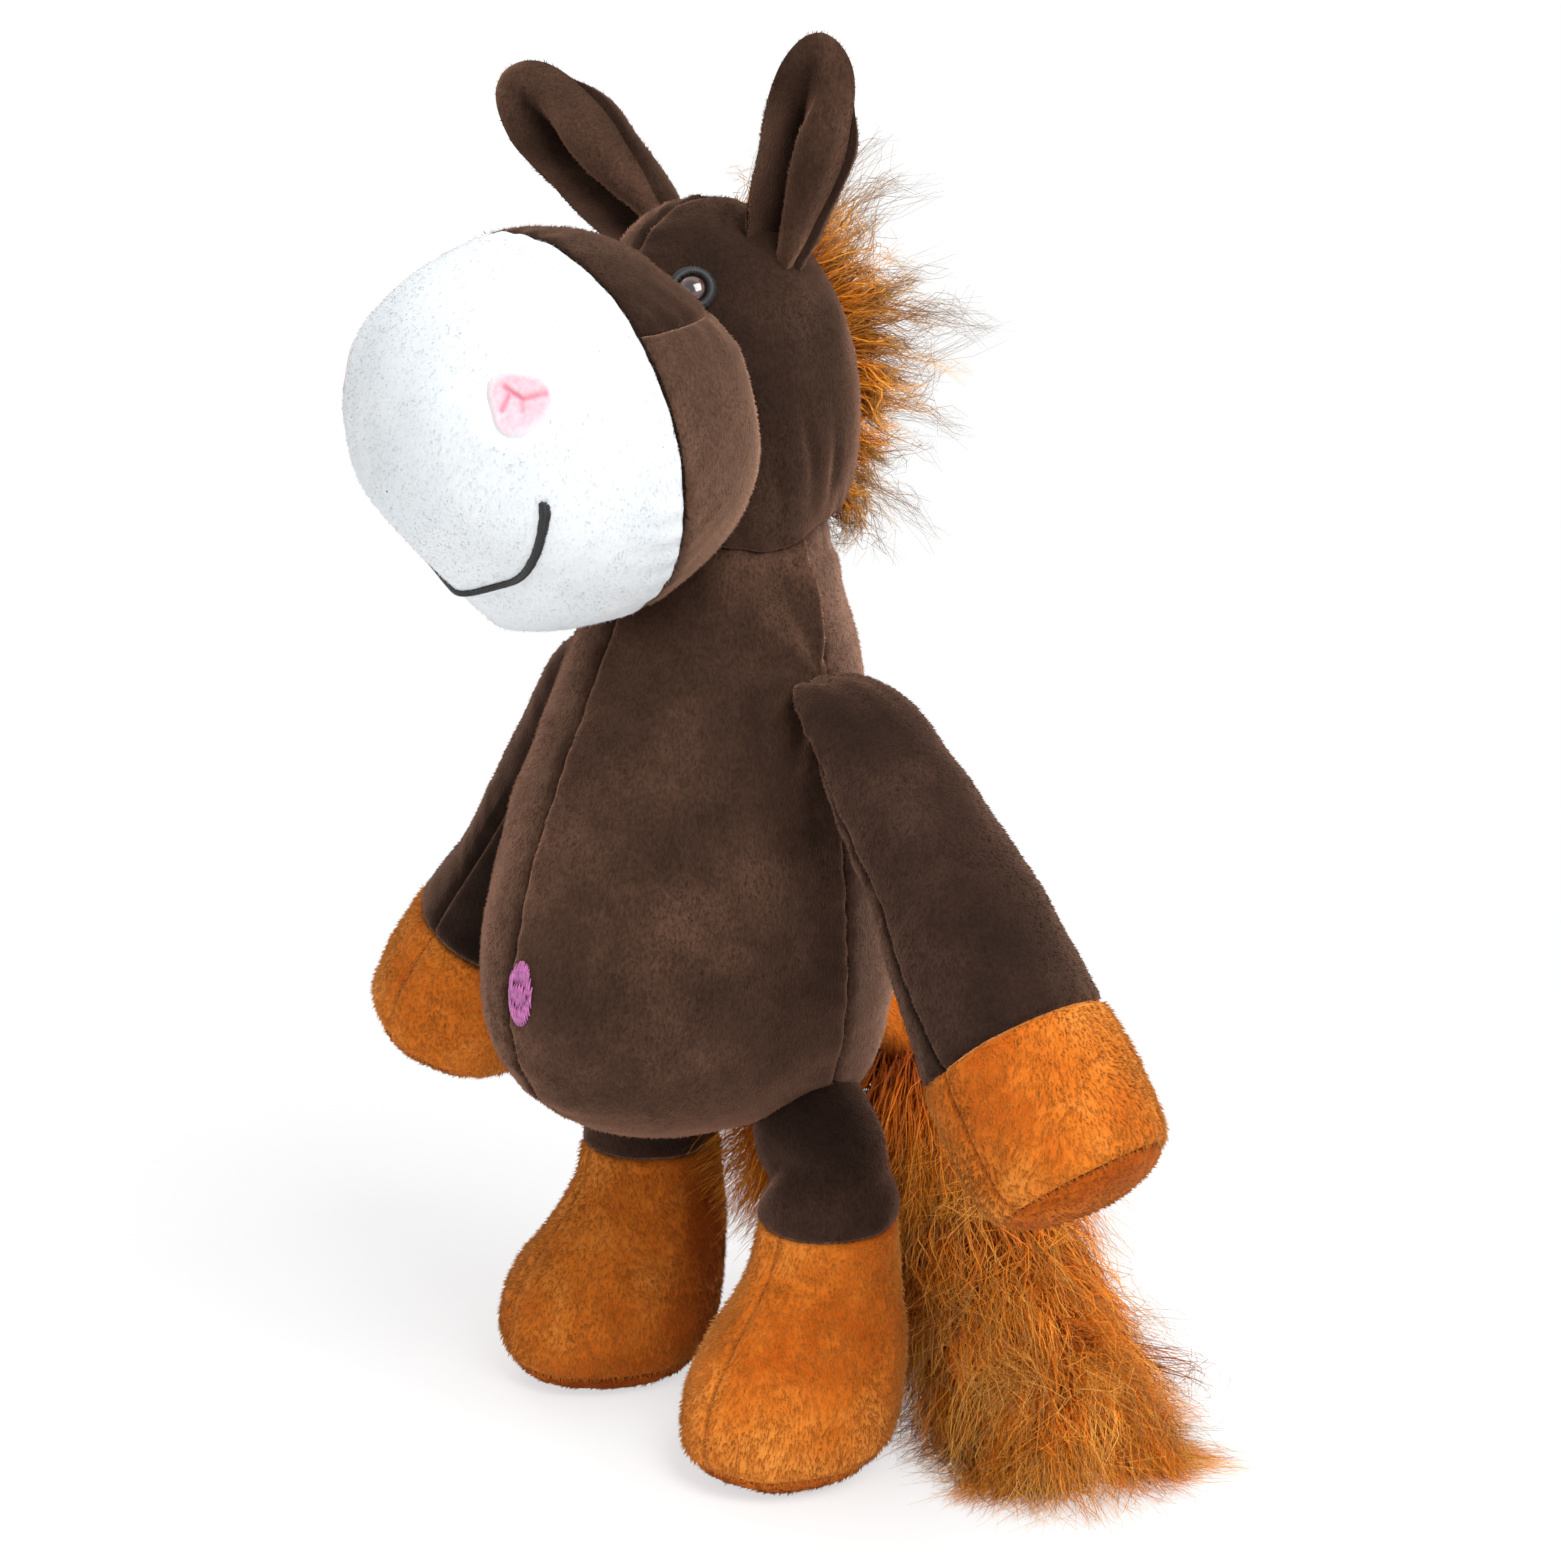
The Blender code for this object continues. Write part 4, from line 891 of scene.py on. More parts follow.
def seamAngle(t):
    # Where the seam between the two sleeves runs: a plane above the axis, as an angle from the left side
    radius = bSpline(np.concatenate([[-axisRadii[1]], axisRadii, [-axisRadii[-2]]]), t)
    height = muzzleShape["sleeveSeam"] + 0.1584 * bSpline(
        np.array([axisCentres[1]] + axisCentres + [axisCentres[-2]]), t
    )[..., 2]
    return np.arcsin(np.clip(height / np.maximum(radius, 1), -1, 1))


def whole(k):
    return lambda t: np.full_like(t, k)


def mouthward(root):
    out = root - muzzleBall["centre"]
    return unit(
        np.stack([0.35 * out[:, 0] / 42, np.full(len(root), 0.25), np.full(len(root), -1.0)], axis=1)
    )


muzzlePieces = []
capGrid = muzzleGrid(
    seamRing, muzzleSurface.last - 0.02, whole(front), whole(front + 2 * math.pi), 130, 300
)
ballCentre = np.broadcast_to(muzzleBall["centre"], capGrid.shape)
made = panel(
    "muzzleFacePanel",
    capGrid,
    ballCentre,
    "white",
    ("low",),
    mouthward,
    51,
    muzzleShaped,
    pucker=0.3,
    depth=1.5,
)
dress(made, "muzzle_face_panel", "muzzle_stuffing", slot="white_plush")
muzzlePieces += made
backRing = 0.9
upperGrid = muzzleGrid(backRing, seamRing, seamAngle, lambda t: math.pi - seamAngle(t), 56, 110)
lowerGrid = muzzleGrid(
    backRing, seamRing, lambda t: math.pi - seamAngle(t), lambda t: 2 * math.pi + seamAngle(t), 56, 220
)
for label, grid, tone, seed, slotName in (
    ("Upper", upperGrid, "headBrown", 57, "dark_brown_plush"),
    # the lower sleeve takes the lit copy of the brown cloth: painted light
    ("Lower", lowerGrid, "litBrown", 58, "brown_plush"),
):
    centre = np.broadcast_to(muzzleBall["centre"], grid.shape)
    made = panel(
        f"muzzle{label}Sleeve",
        grid,
        centre,
        tone,
        ("left", "right", "high"),
        backward,
        seed,
        muzzleShaped,
        pucker=0.25,
        depth=1.1,
    )
    dress(made, f"muzzle_{label.lower()}_sleeve", slot=slotName)
    muzzlePieces += made


def edgeTufts(name, count, seed):
    # Brown nap along the seam's far side that leans forward over the white edge, in uneven clusters
    r = np.random.default_rng(seed)
    angle = r.random(count) * 2 * math.pi
    cluster = 0.5 + 0.5 * np.sin(angle * 41 + 3 * np.sin(angle * 13))
    p = muzzlePlaced(muzzleSurface(angle, np.full(count, seamRing - 0.02) + r.normal(0, 0.012, count)))
    out = unit(p - muzzleBall["centre"])
    way = unit(muzzleForward + out * r.uniform(0.1, 0.9, (count, 1)) + r.normal(0, 0.35, (count, 3)))
    tone = toned(pileLooks["headBrown"], np.clip(r.normal(0.4, 0.2, count), 0, 1))
    return spikes(
        name,
        p - out * 0.9,
        way,
        (0.9 + 1.5 * cluster * r.random(count))[:, None],
        np.full((count, 1), 0.17),
        tone,
        pileLooks["headBrown"]["material"],
        out,
    )


muzzlePieces.append(edgeTufts("muzzleSeamTufts", 3600, 59))
for obj in muzzlePieces:
    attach(obj, "head")
print("muzzle sewn")


# Nostrils, mouth, navel and eyes


def onSurface(sheets, points, way):
    # Drops points onto the sewn sheets along a direction, by ray from outside
    found = np.array(points, float)
    for i, (point, towards) in enumerate(zip(points, way)):
        best = None
        for sheet in sheets:
            start = placed(point - towards * 30)[0]
            hit, where, _, _ = sheet.ray_cast(Vector(start), Vector(towards))
            if hit and (best is None or (Vector(start) - where).length < best[0]):
                best = ((Vector(start) - where).length, where)
        if best is not None:
            found[i] = np.array(best[1]) * 1000 + middle
    return found


# painted shade: the deeper pink laid into the nostril's tucks
creaseShadeTone = (0.83, 0.5, 0.57)


def nostril(side):
    # A patch in polar coordinates round the tuck: the rim is a soft triangle, and three creases run in
    turn = np.linspace(0, 2 * math.pi, 73)[None, :]
    share = np.linspace(0.0, 1, 26)[:, None]
    rim = nostrilShape["half"] * (0.98 + 0.1 * np.cos(turn - 0.35) + 0.1 * np.cos(3 * turn - 0.9))
    x, y = share * rim * np.cos(turn) * side, share * rim * np.sin(turn) * 0.93
    azimuth = side * nostrilShape["azimuth"] + np.degrees(x / 42)
    elevation = nostrilShape["elevation"] + np.degrees(y / 42)
    out = unit(onMuzzle(azimuth, elevation) - muzzleBall["centre"])
    base = onMuzzle(azimuth, elevation, np.full(azimuth.shape, 42.35))
    base = onSurface([muzzlePieces[0]], base.reshape(-1, 3), -out.reshape(-1, 3)).reshape(base.shape)
    lift = 0.75 - 10.0 * np.clip(share * turn**0 - 0.8, 0, 1) ** 1.6
    crease = np.zeros_like(x)
    px, py = x * side, y
    for x0, y0, x1, y1, deep in (
        (-2.6, 2.8, 1.2, 0.6, 1.0),
        (1.2, 0.6, 5.8, 1.6, 0.8),
        (1.2, 0.6, 1.0, -1.6, 0.5),
        (-1.6, 1.8, -3.0, -1.6, 0.9),
    ):
        wx, wy = x1 - x0, y1 - y0
        f = np.clip(((px - x0) * wx + (py - y0) * wy) / (wx**2 + wy**2), 0, 1)
        away = np.hypot(px - x0 - f * wx, py - y0 - f * wy)
        crease = np.maximum(crease, deep * np.exp(-((away / 0.55) ** 2)))
    p = base + out * (lift - 0.55 * crease)[..., None]
    obj = gridPiece(f"nostril{'Left' if side > 0 else 'Right'}", p, out, nostrilCloth)
    for label, value in (
        ("crease", crease), ("fade", np.clip((share + 0 * turn - 0.7) / 0.3, 0, 1) ** 1.3)
    ):
        layer = obj.data.attributes.new(label, "FLOAT", "POINT")
        layer.data.foreach_set("value", value.astype(np.float32).ravel())
    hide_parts(f"nostril_{'left' if side > 0 else 'right'}")
    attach(obj, "head")
    return obj


def creasedPink():
    # Pale pink pile, with painted shade as a deeper pink down in the tucks, which the patch's own attribute
    # marks
    made, nodes, links, shader = shaderFor("nostrilPlush", 0.95, 0.25, 0.35, (1, 0.85, 0.88), 0.15)
    mark = nodes.new("ShaderNodeAttribute")
    mark.attribute_name = "crease"
    base = ramp(
        nodes,
        links,
        noiseOn(nodes, links, 1.1, detail=2).outputs["Fac"],
        ((0.3, (0.87, 0.67, 0.71)), (0.7, (0.9, 0.75, 0.785))),
    )
    fade = nodes.new("ShaderNodeAttribute")
    fade.attribute_name = "fade"
    pale = mixed(
        nodes, links, "MIX", fade.outputs["Fac"], base.outputs["Color"], linear(plushLooks["white"]["mid"])
    )
    colour = mixed(nodes, links, "MIX", mark.outputs["Fac"], pale, linear(creaseShadeTone))
    links.new(colour, shader.inputs["Base Color"])
    relief = nodes.new("ShaderNodeBump")
    relief.inputs["Strength"].default_value, relief.inputs["Distance"].default_value = 0.25, 0.0005
    links.new(noiseOn(nodes, links, 0.7, detail=2).outputs["Fac"], relief.inputs["Height"])
    links.new(relief.outputs["Normal"], shader.inputs["Normal"])
    return made


nostrilCloth = creasedPink()
for side in (1, -1):
    nostril(side)

mouthShape = {
    "half": ((0, -48), (18, -46), (33, -41), (42, -35.5), (48, -26), (51, -15), (51, -9)),
    "width": 2.3,
    "pitch": 0.42,
}


def smoothLine(points, count):
    # Catmull-Rom curve through the points, spaced evenly by parameter
    c = np.asarray(points, float)
    c = np.concatenate([2 * c[:1] - c[1:2], c, 2 * c[-1:] - c[-2:-1]])
    t = np.linspace(0, len(points) - 1, count)
    i = np.minimum(t.astype(int), len(points) - 2)
    f = (t - i)[:, None]
    a, b, d, e = c[i], c[i + 1], c[i + 2], c[i + 3]
    return 0.5 * (2 * b + (d - a) * f + (2 * a - 5 * b + 4 * d - e) * f**2 + (3 * b - a - 3 * d + e) * f**3)


def mouth():
    half = smoothLine(mouthShape["half"], 60)
    full = np.concatenate([half[::-1][:-1] * np.array([-1, 1]), half])
    line = onMuzzle(full[:, 0], full[:, 1])
    way = -unit(line - muzzleBall["centre"])
    line = onSurface([muzzlePieces[0]], line, way)
    run = np.concatenate([[0], np.cumsum(np.linalg.norm(np.diff(line, axis=0), axis=1))])
    s = np.arange(0.3, run[-1] - 0.3, mouthShape["pitch"])
    at = np.stack([np.interp(s, run, line[:, k]) for k in range(3)], axis=1)
    out = unit(at - muzzleBall["centre"])
    ahead = unit(np.gradient(at, axis=0))
    side = np.cross(out, ahead)
    share = np.abs(2 * s / run[-1] - 1)
    width = mouthShape["width"] * (0.45 + 0.55 * share**1.3) * random.uniform(0.88, 1.08, len(s))
    width *= np.clip((run[-1] / 2 - np.abs(s - run[-1] / 2)) / 1.2, 0.45, 1)
    slant = ahead * 0.28
    a = at - (side + slant) * width[:, None] / 2 + out * 0.05
    b = at + (side + slant) * width[:, None] / 2 + out * 0.05
    obj = stitches("mouthEmbroidery", a, b, out * 0.75, 0.33, blackThread)
    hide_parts("mouth_embroidery")
    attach(obj, "head")


mouth()

navelShape = {
    "x": 5.0, "z": 121, "width": 7.2, "height": 13.8, "pitch": 0.48, "normal": np.array([0.17, -1, 0.0])
}


def navel():
    # Rows of threads that lie up and down the oval, each as long as the oval is tall there
    normal = unit(navelShape["normal"])
    across = unit(np.cross([0, 0, 1.0], normal))
    half = navelShape["width"] / 2
    columns = np.arange(-half + 0.3, half, navelShape["pitch"])
    tops = navelShape["height"] / 2 * np.sqrt(1 - (columns / half) ** 2)
    a, b = [], []
    for x, top in zip(columns, tops):
        breaks = np.linspace(-top, top, max(2, int(round(2 * top / 4.2)) + 1))
        breaks[1:-1] += random.uniform(-0.9, 0.9, len(breaks) - 2)
        for low, high in zip(breaks, breaks[1:]):
            a.append((x, low))
            b.append((x + random.uniform(-0.15, 0.15), high + 0.3))
    centre = np.array([navelShape["x"], -55.5, navelShape["z"]])
    spots = []
    for ends in (a, b):
        ends = np.array(ends)
        flat = centre + across * ends[:, :1] + np.array([0, 0, 1.0]) * ends[:, 1:]
        spots.append(onSurface([torsoPieces[0]], flat, np.tile(-normal, (len(flat), 1))))
    obj = stitches(
        "navelEmbroidery",
        spots[0] + normal * 0.25,
        spots[1] + normal * 0.25,
        np.tile(normal * 0.55, (len(a), 1)),
        0.31,
        magentaThread,
    )
    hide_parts("navel_embroidery")
    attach(obj, "torso")


navel()

eyeShape = {
    "place": np.array([15.6, -14.9, 267.8]),
    "normal": np.array([0.59, -0.61, 0.52]),
    "radius": 2.9,
    "rise": 2.0,
    "ring": 4.05,
    "ringWidth": 2.1,
    "lift": 0.35,
}


def eyePlastic():
    # Brown plastic under a clear gloss: dark in the middle, warmer toward the rim
    made, nodes, links, shader = shaderFor("eyePlasticBrown", 0.12, 0, 0.3, (1, 1, 1), 0.5, 1.0)
    shader.inputs["Coat Roughness"].default_value = 0.04
    mark = nodes.new("ShaderNodeAttribute")
    mark.attribute_name = "rim"
    tone = ramp(
        nodes,
        links,
        mark.outputs["Fac"],
        (
            (0.0, (0.10, 0.055, 0.045)),
            (0.38, (0.13, 0.075, 0.06)),
            (0.62, (0.37, 0.245, 0.22)),
            (0.92, (0.24, 0.15, 0.13)),
        ),
    )
    links.new(tone.outputs["Color"], shader.inputs["Base Color"])
    return made


eyeBrown = eyePlastic()


def eye(side):
    # A dome turned about its own normal, and a stitched ring that lies round it
    name = "Left" if side > 0 else "Right"
    centre = eyeShape["place"] * np.array([side, 1, 1])
    normal = unit(eyeShape["normal"] * np.array([side, 1, 1]))
    x = unit(np.cross([0, 0, 1.0], normal))
    y = np.cross(normal, x)
    base = centre + normal * (eyeShape["lift"] - 0.5)
    angle = np.linspace(0, 2 * math.pi, 65)[None, :]
    bow = np.linspace(0.001, math.radians(112), 30)[:, None]
    r = eyeShape["radius"] * np.sin(bow)
    h = eyeShape["rise"] * (np.cos(bow) + 0.37) / 1.37
    p = base + (
        x * np.cos(angle)[..., None] + y * np.sin(angle)[..., None]
    ) * r[..., None] + normal * h[..., None]
    out = unit(p - (base - normal * 1.0))
    obj = gridPiece(f"eye{name}", p, out, eyeBrown)
    rim = obj.data.attributes.new("rim", "FLOAT", "POINT")
    rim.data.foreach_set(
        "value",
        np.broadcast_to(np.clip(r / eyeShape["radius"], 0, 1), p.shape[:2]).astype(np.float32).ravel(),
    )
    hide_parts(f"eye_{name.lower()}")
    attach(obj, "head")
    count = 74
    turn = np.linspace(0, 2 * math.pi, count, endpoint=False)
    spoke = x * np.cos(turn)[:, None] + y * np.sin(turn)[:, None]
    reach = random.uniform(0.9, 1.1, (count, 1)) * eyeShape["ringWidth"] / 2
    slant = np.cross(normal, spoke) * 0.3
    middleLine = base + spoke * eyeShape["ring"] + normal * 0.35
    a, b = middleLine - (spoke + slant) * reach, middleLine + (spoke + slant) * reach
    ring = stitches(f"eyeRing{name}", a, b, np.tile(normal * 0.8, (count, 1)), 0.34, blackThread)
    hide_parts(f"eye_ring_{name.lower()}")
    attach(ring, "head")


for side in (1, -1):
    eye(side)
print("face embroidered")


# Ears

earShape = {
    # half width along the leaf in shares of the widest place, the root being pinched
    "widths": (0.26, 0.42, 0.74, 0.95, 1.05, 1.07, 1.04, 1.0),
    # sections from rim to rim as (across, away from the opening) in half widths, middle and root
    "lining": (
        (-1.0, -0.28),
        (-0.74, 0.1),
        (-0.42, 0.5),
        (-0.16, 0.66),
        (-0.14, 0.22),
        (-0.2, -0.2),
        (0.06, -0.5),
        (0.42, -0.46),
        (0.74, -0.1),
    ),
    "liningRoot": (
        (-1.0, -0.3),
        (-0.66, 0.3),
        (-0.3, 0.7),
        (-0.1, 0.8),
        (-0.02, 0.3),
        (-0.06, -0.3),
        (0.12, -0.75),
        (0.45, -0.8),
        (0.7, -0.4),
    ),
    "back": (
        (-1.0, -0.28),
        (-1.0, 0.2),
        (-0.72, 0.7),
        (-0.2, 0.98),
        (0.4, 0.9),
        (0.84, 0.55),
        (1.0, 0.16),
        (0.94, -0.12),
        (0.74, -0.1),
    ),
    "backRoot": (
        (-1.0, -0.3),
        (-1.05, 0.4),
        (-0.75, 1.0),
        (-0.2, 1.3),
        (0.45, 1.2),
        (0.95, 0.7),
        (1.05, 0.1),
        (0.95, -0.3),
        (0.7, -0.4),
    ),
    "tip": 0.24,
}
ears = {
    "left": {
        "side": 1,
        "root": (16.5, 7.0, 273.5),
        "lean": 21,
        "turn": 46,
        "forward": 3,
        "half": 10.0,
        "length": 49.5,
    },
    "right": {
        "side": -1,
        "root": (-16.0, 0.5, 275.0),
        "lean": 56,
        "turn": -30,
        "forward": 6,
        "half": 11.0,
        "length": 55.5,
    },
}


def turned(axis, degrees):
    return np.array(Matrix.Rotation(math.radians(degrees), 3, axis))


def earAxes(spec):
    side = spec["side"]
    leaned = turned("Y", side * spec["lean"]) @ turned("X", spec["forward"])
    return leaned @ turned("Z", side * spec["turn"])


def earGrid(spec, layer, rows=110, columns=90):
    # Each layer sweeps its section along the leaf, which flattens and closes towards the tip
    # as a half ellipse, so that both layers end in the one point and meet along the rim
    w = np.linspace(0, 1, rows)[:, None]
    q = -0.13 + 1.13 * np.sin(w * math.pi / 2)
    along01 = np.clip((q + 0.13) / 1.13, 0, 1)
    wide = bSpline(np.array(earShape["widths"], float), along01 * (len(earShape["widths"]) - 3))
    half = spec["half"] * wide * np.sqrt(np.clip(1 - np.clip(q, 0, 1) ** 4.6, 0, 1))
    name = "back" if layer > 0 else "lining"
    middleForm, rootForm = (smoothLine(earShape[key], columns) for key in (name, name + "Root"))
    s = np.linspace(-1, 1, columns)
    tipForm = np.stack([s * 0.98, layer * earShape["tip"] * (1 - s**2) - 0.1], axis=1)
    toRoot = np.clip(1 - (q + 0.02) / 0.3, 0, 1)
    toTip = np.clip((q - 0.5) / 0.46, 0, 1)
    toRoot, toTip = (k**2 * (3 - 2 * k) for k in (toRoot, toTip))
    form = middleForm + (rootForm - middleForm) * toRoot[..., None]
    form = form + (tipForm - middleForm) * toTip[..., None]
    form = form + 0.05 * np.stack(
        [np.sin(q * 9 + s * 3), np.sin(q * 7 + s * 2)], axis=-1
    ) * (1 - toTip[..., None])
    p = np.concatenate([form * half[..., None], q[..., None] * spec["length"] + 0 * form[..., :1]], axis=-1)
    p[..., 0] += 1.6 * np.sin(np.clip(q, 0, 1) * math.pi)
    return p @ earAxes(spec).T + np.array(spec["root"])


def earPieces(name, spec):
    made = []
    way = earAxes(spec)[:, 1]
    up = earAxes(spec)[:, 2]
    for label, layer, tone, slotName in (
        ("Back", 1, "headBrown", "dark_brown_plush"), ("Lining", -1, "brown", "brown_plush")
    ):
        p = earGrid(spec, layer)
        n = normalsOf(p, p - way * layer)
        p = p + n * (0.3 * lumps(p, 13, 70) * np.linspace(1, 0, len(p))[:, None])[..., None]
        s, q = np.linspace(-1, 1, p.shape[1])[None, :], np.linspace(0, 1, len(p))[:, None]
        # Painted shade: the lining darkens in the fold's valley and over its left lobe, less toward the tip,
        # and the back is a little darker all over
        earShade = (
            0.5 * np.clip((0.1 - s) / 0.3, 0, 1) + 0.5 * np.exp(-(((s + 0.2) / 0.28) ** 2))
        ) * np.clip((0.9 - q) / 0.3, 0, 1)
        earShade = earShade if layer < 0 else 0.15 + 0 * earShade
        tufts = pile(
            f"ear{name.title()}{label}Pile",
            p,
            n,
            up,
            pileLooks[tone],
            75 + layer + spec["side"] * 3,
            shade=earShade,
        )
        sheet = gridPiece(f"ear{name.title()}{label}", p, n, cloth[tone])
        marked(sheet, earShade)
        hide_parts(f"ear_{name}_{label.lower()}")
        for obj in (sheet, tufts):
            made.append(obj)
    root = np.array(spec["root"])
    bent(made, root - up * 2, root + up * 9)


for name, spec in ears.items():
    earPieces(name, spec)
print("ears folded")


# Arms

armShape = {
    # distance from the shoulder seam, offset outward, half thickness, half width
    "rings": (
        (1.2, 1.6, 1.9, 11.5),
        (9, 3.6, 9.2, 13.2),
        (28, 3.2, 13.8, 14.0),
        (58, 1.0, 15.9, 15.6),
        (91, 0, 20.5, 20.3),
        (112, 0, 21.4, 21.4),
        (122, 0, 18.9, 18.9),
    ),
    "ends": (0.4, 125.5),
    "cuff": 88,
    "sole": 119.5,
    "seam": -2.0,
}
arms = {
    "left": {
        "side": 1,
        "shoulder": (33.0, 7.5, 184.5),
        "out": 44,
        "forward": 3,
        "outer": 2.4,
        "tilt": 5.5,
        "shade": 0.05,
    },
    "right": {
        "side": -1,
        "shoulder": (-33.0, 7.5, 184.5),
        "out": 26.5,
        "forward": 9.5,
        "outer": -2.4,
        "tilt": 0,
        "shade": 0.5,
    },
}
armCentres = [
    (1.6, 0, -armShape["ends"][0]),
    *((o, 0, -at) for at, o, _, _ in armShape["rings"]),
    (0, 0, -armShape["ends"][1]),
]
armThick = [0] + [r[2] for r in armShape["rings"]] + [0]
armWide = [0] + [r[3] for r in armShape["rings"]] + [0]
armSurface = ringed(armCentres, armThick, armWide)


def armAxes(spec):
    face = np.eye(3) if spec["side"] > 0 else turned("Z", 180)
    return turned("X", -spec["forward"]) @ face @ turned("Y", -spec["out"])


def armRing(distance):
    return float(heightToRing(armCentres, -distance))


def armSeam(t):
    # The angle at which the side seam's plane meets the ring
    c = np.array([armCentres[1]] + armCentres + [armCentres[-2]], float)
    d = np.array([-armThick[1]] + armThick + [-armThick[-2]])
    return np.arccos(
        np.clip((armShape["seam"] - bSpline(c, t)[..., 0]) / np.maximum(bSpline(d, t), 0.3), -0.98, 0.98)
    )


def armPieces(name, spec):
    axes, shoulder = armAxes(spec), np.array(spec["shoulder"])
    made = []
    parts = (
        (
            "Sleeve",
            0.12,
            armRing(armShape["cuff"]),
            110,
            # the shaded copy of the brown cloth: painted shade on the sleeve
            "shadedBrown",
            "brown_plush",
            ("left", "right", "high"),
        ),
        (
            "Hoof",
            armRing(armShape["cuff"]),
            armRing(armShape["sole"]),
            46,
            "orange",
            "orange_plush",
            ("left", "right", "low", "high"),
        ),
    )
    toward = -axes[:, 2]

    def shaped(p, n):
        local = (p - shoulder) @ axes
        run = -local[..., 2]
        soft = 0.5 * lumps(p, 34, 81 + spec["side"]) + 0.25 * lumps(p, 15, 82)
        soft -= 0.8 * np.exp(-(((run - 52 - 2 * local[..., 1] / 10) / 7) ** 2)) * (local[..., 0] < 0)
        soft += 0.5 * np.cos(local[..., 1] * 0.9 + 1) * np.exp(-run / 9.0)
        soft += spec["outer"] * np.exp(-(((run - 60) / 28) ** 2)) * np.clip(local[..., 0] / 12, 0, 1)
        facing = np.clip(0.2 + (local[..., 0] * 0.76 - local[..., 1] * 0.65) / 42, -0.3, 0.7)
        end = np.clip((run - 55) / 62, 0, 1)
        out = p + n * soft[..., None] - axes[:, 2] * (spec["tilt"] * facing * end)[..., None]
        out[..., 0] -= spec["side"] * 4.0 * np.exp(-((run / 9) ** 2))
        return out

    def shade(p):
        local = (p - shoulder) @ axes
        hoof = -local[..., 2] > armShape["cuff"] + 1
        return np.where(hoof, 0.12, np.clip(spec["shade"] + 0.6 * np.clip(-local[..., 0] / 14, 0, 1), 0, 1))

    for label, low, high, rows, tone, slotName, sides in parts:
        for face in ("Outer", "Inner"):
            v = np.linspace(0, 1, rows)[:, None]
            t = low + (high - low) * v
            a = armSeam(t)
            start, end = (-a, a) if face == "Outer" else (a, 2 * math.pi - a)
            angle = start + (end - start) * np.linspace(0, 1, 74)[None, :]
            local = armSurface(angle, t + 0 * angle)
            middleLine = local.copy()
            middleLine[..., 0], middleLine[..., 1] = 0, 0
            p, centre = (g @ axes.T + shoulder for g in (local, middleLine))
            made += panel(
                f"arm{name.title()}{label}{face}",
                p,
                centre,
                tone,
                sides,
                toward,
                85 + len(made),
                shaped,
                pucker=0.22,
                depth=1.0,
                shade=shade,
            )
            dress(
                made[-2:],
                f"arm_{name}_{label.lower()}_{face.lower()}",
                *([f"arm_{name}_stuffing"] if (label, face) == ("Sleeve", "Inner") else []),
                slot=slotName,
            )
    v = np.linspace(0, 1, 26)[:, None]
    t = armRing(armShape["sole"]) + (armSurface.last - 0.02 - armRing(armShape["sole"])) * v
    angle = np.linspace(0, 2 * math.pi, 120)[None, :] + 0 * t
    local = armSurface(angle, t + 0 * angle)
    inside = local.copy()
    inside[..., 0], inside[..., 1], inside[..., 2] = 0, 0, -armShape["sole"] + 6
    p, centre = (g @ axes.T + shoulder for g in (local, inside))
    sole = panel(
        f"arm{name.title()}Sole",
        p,
        centre,
        "deepOrange",
        ("low",),
        axes[:, 1],
        99 + spec["side"],
        shaped,
        pucker=0.3,
        depth=1.2,
    )
    dress(sole, f"arm_{name}_sole", slot="deep_orange_plush")
    made += sole
    root, tip = shoulder - axes[:, 2] * 1, shoulder - axes[:, 2] * 22
    bent(made, root, tip)


for name, spec in arms.items():
    armPieces(name, spec)
print("arms sewn")


# Legs

legShape = {
    # height, centre Y from the hip, half width, half depth
    "rings": (
        (floorHeight + 0.2, -12.4, 17.5, 21.5),
        (floorHeight + 9, -12.4, 22.6, 26.6),
        (floorHeight + 24, -10.8, 22.2, 26.0),
        (floorHeight + 39, -5.2, 18.8, 20.8),
        (floorHeight + 56, -0.3, 14.6, 15.0),
        (86, 0, 14.2, 14.2),
        (95.4, 0, 10.2, 10.2),
    ),
    "low": (floorHeight - 2.6, -12.4),
    "high": (100.2, 0),
    "bootTop": floorHeight + 55.5,
    "sole": floorHeight + 5,
    "hip": (31.5, 10, 86),
}
legs = {"left": {"side": 1, "toeOut": 2}, "right": {"side": -1, "toeOut": 15}}
legSurface, legCentres = upright(legShape)


def legRing(z):
    return float(heightToRing(legCentres, z))


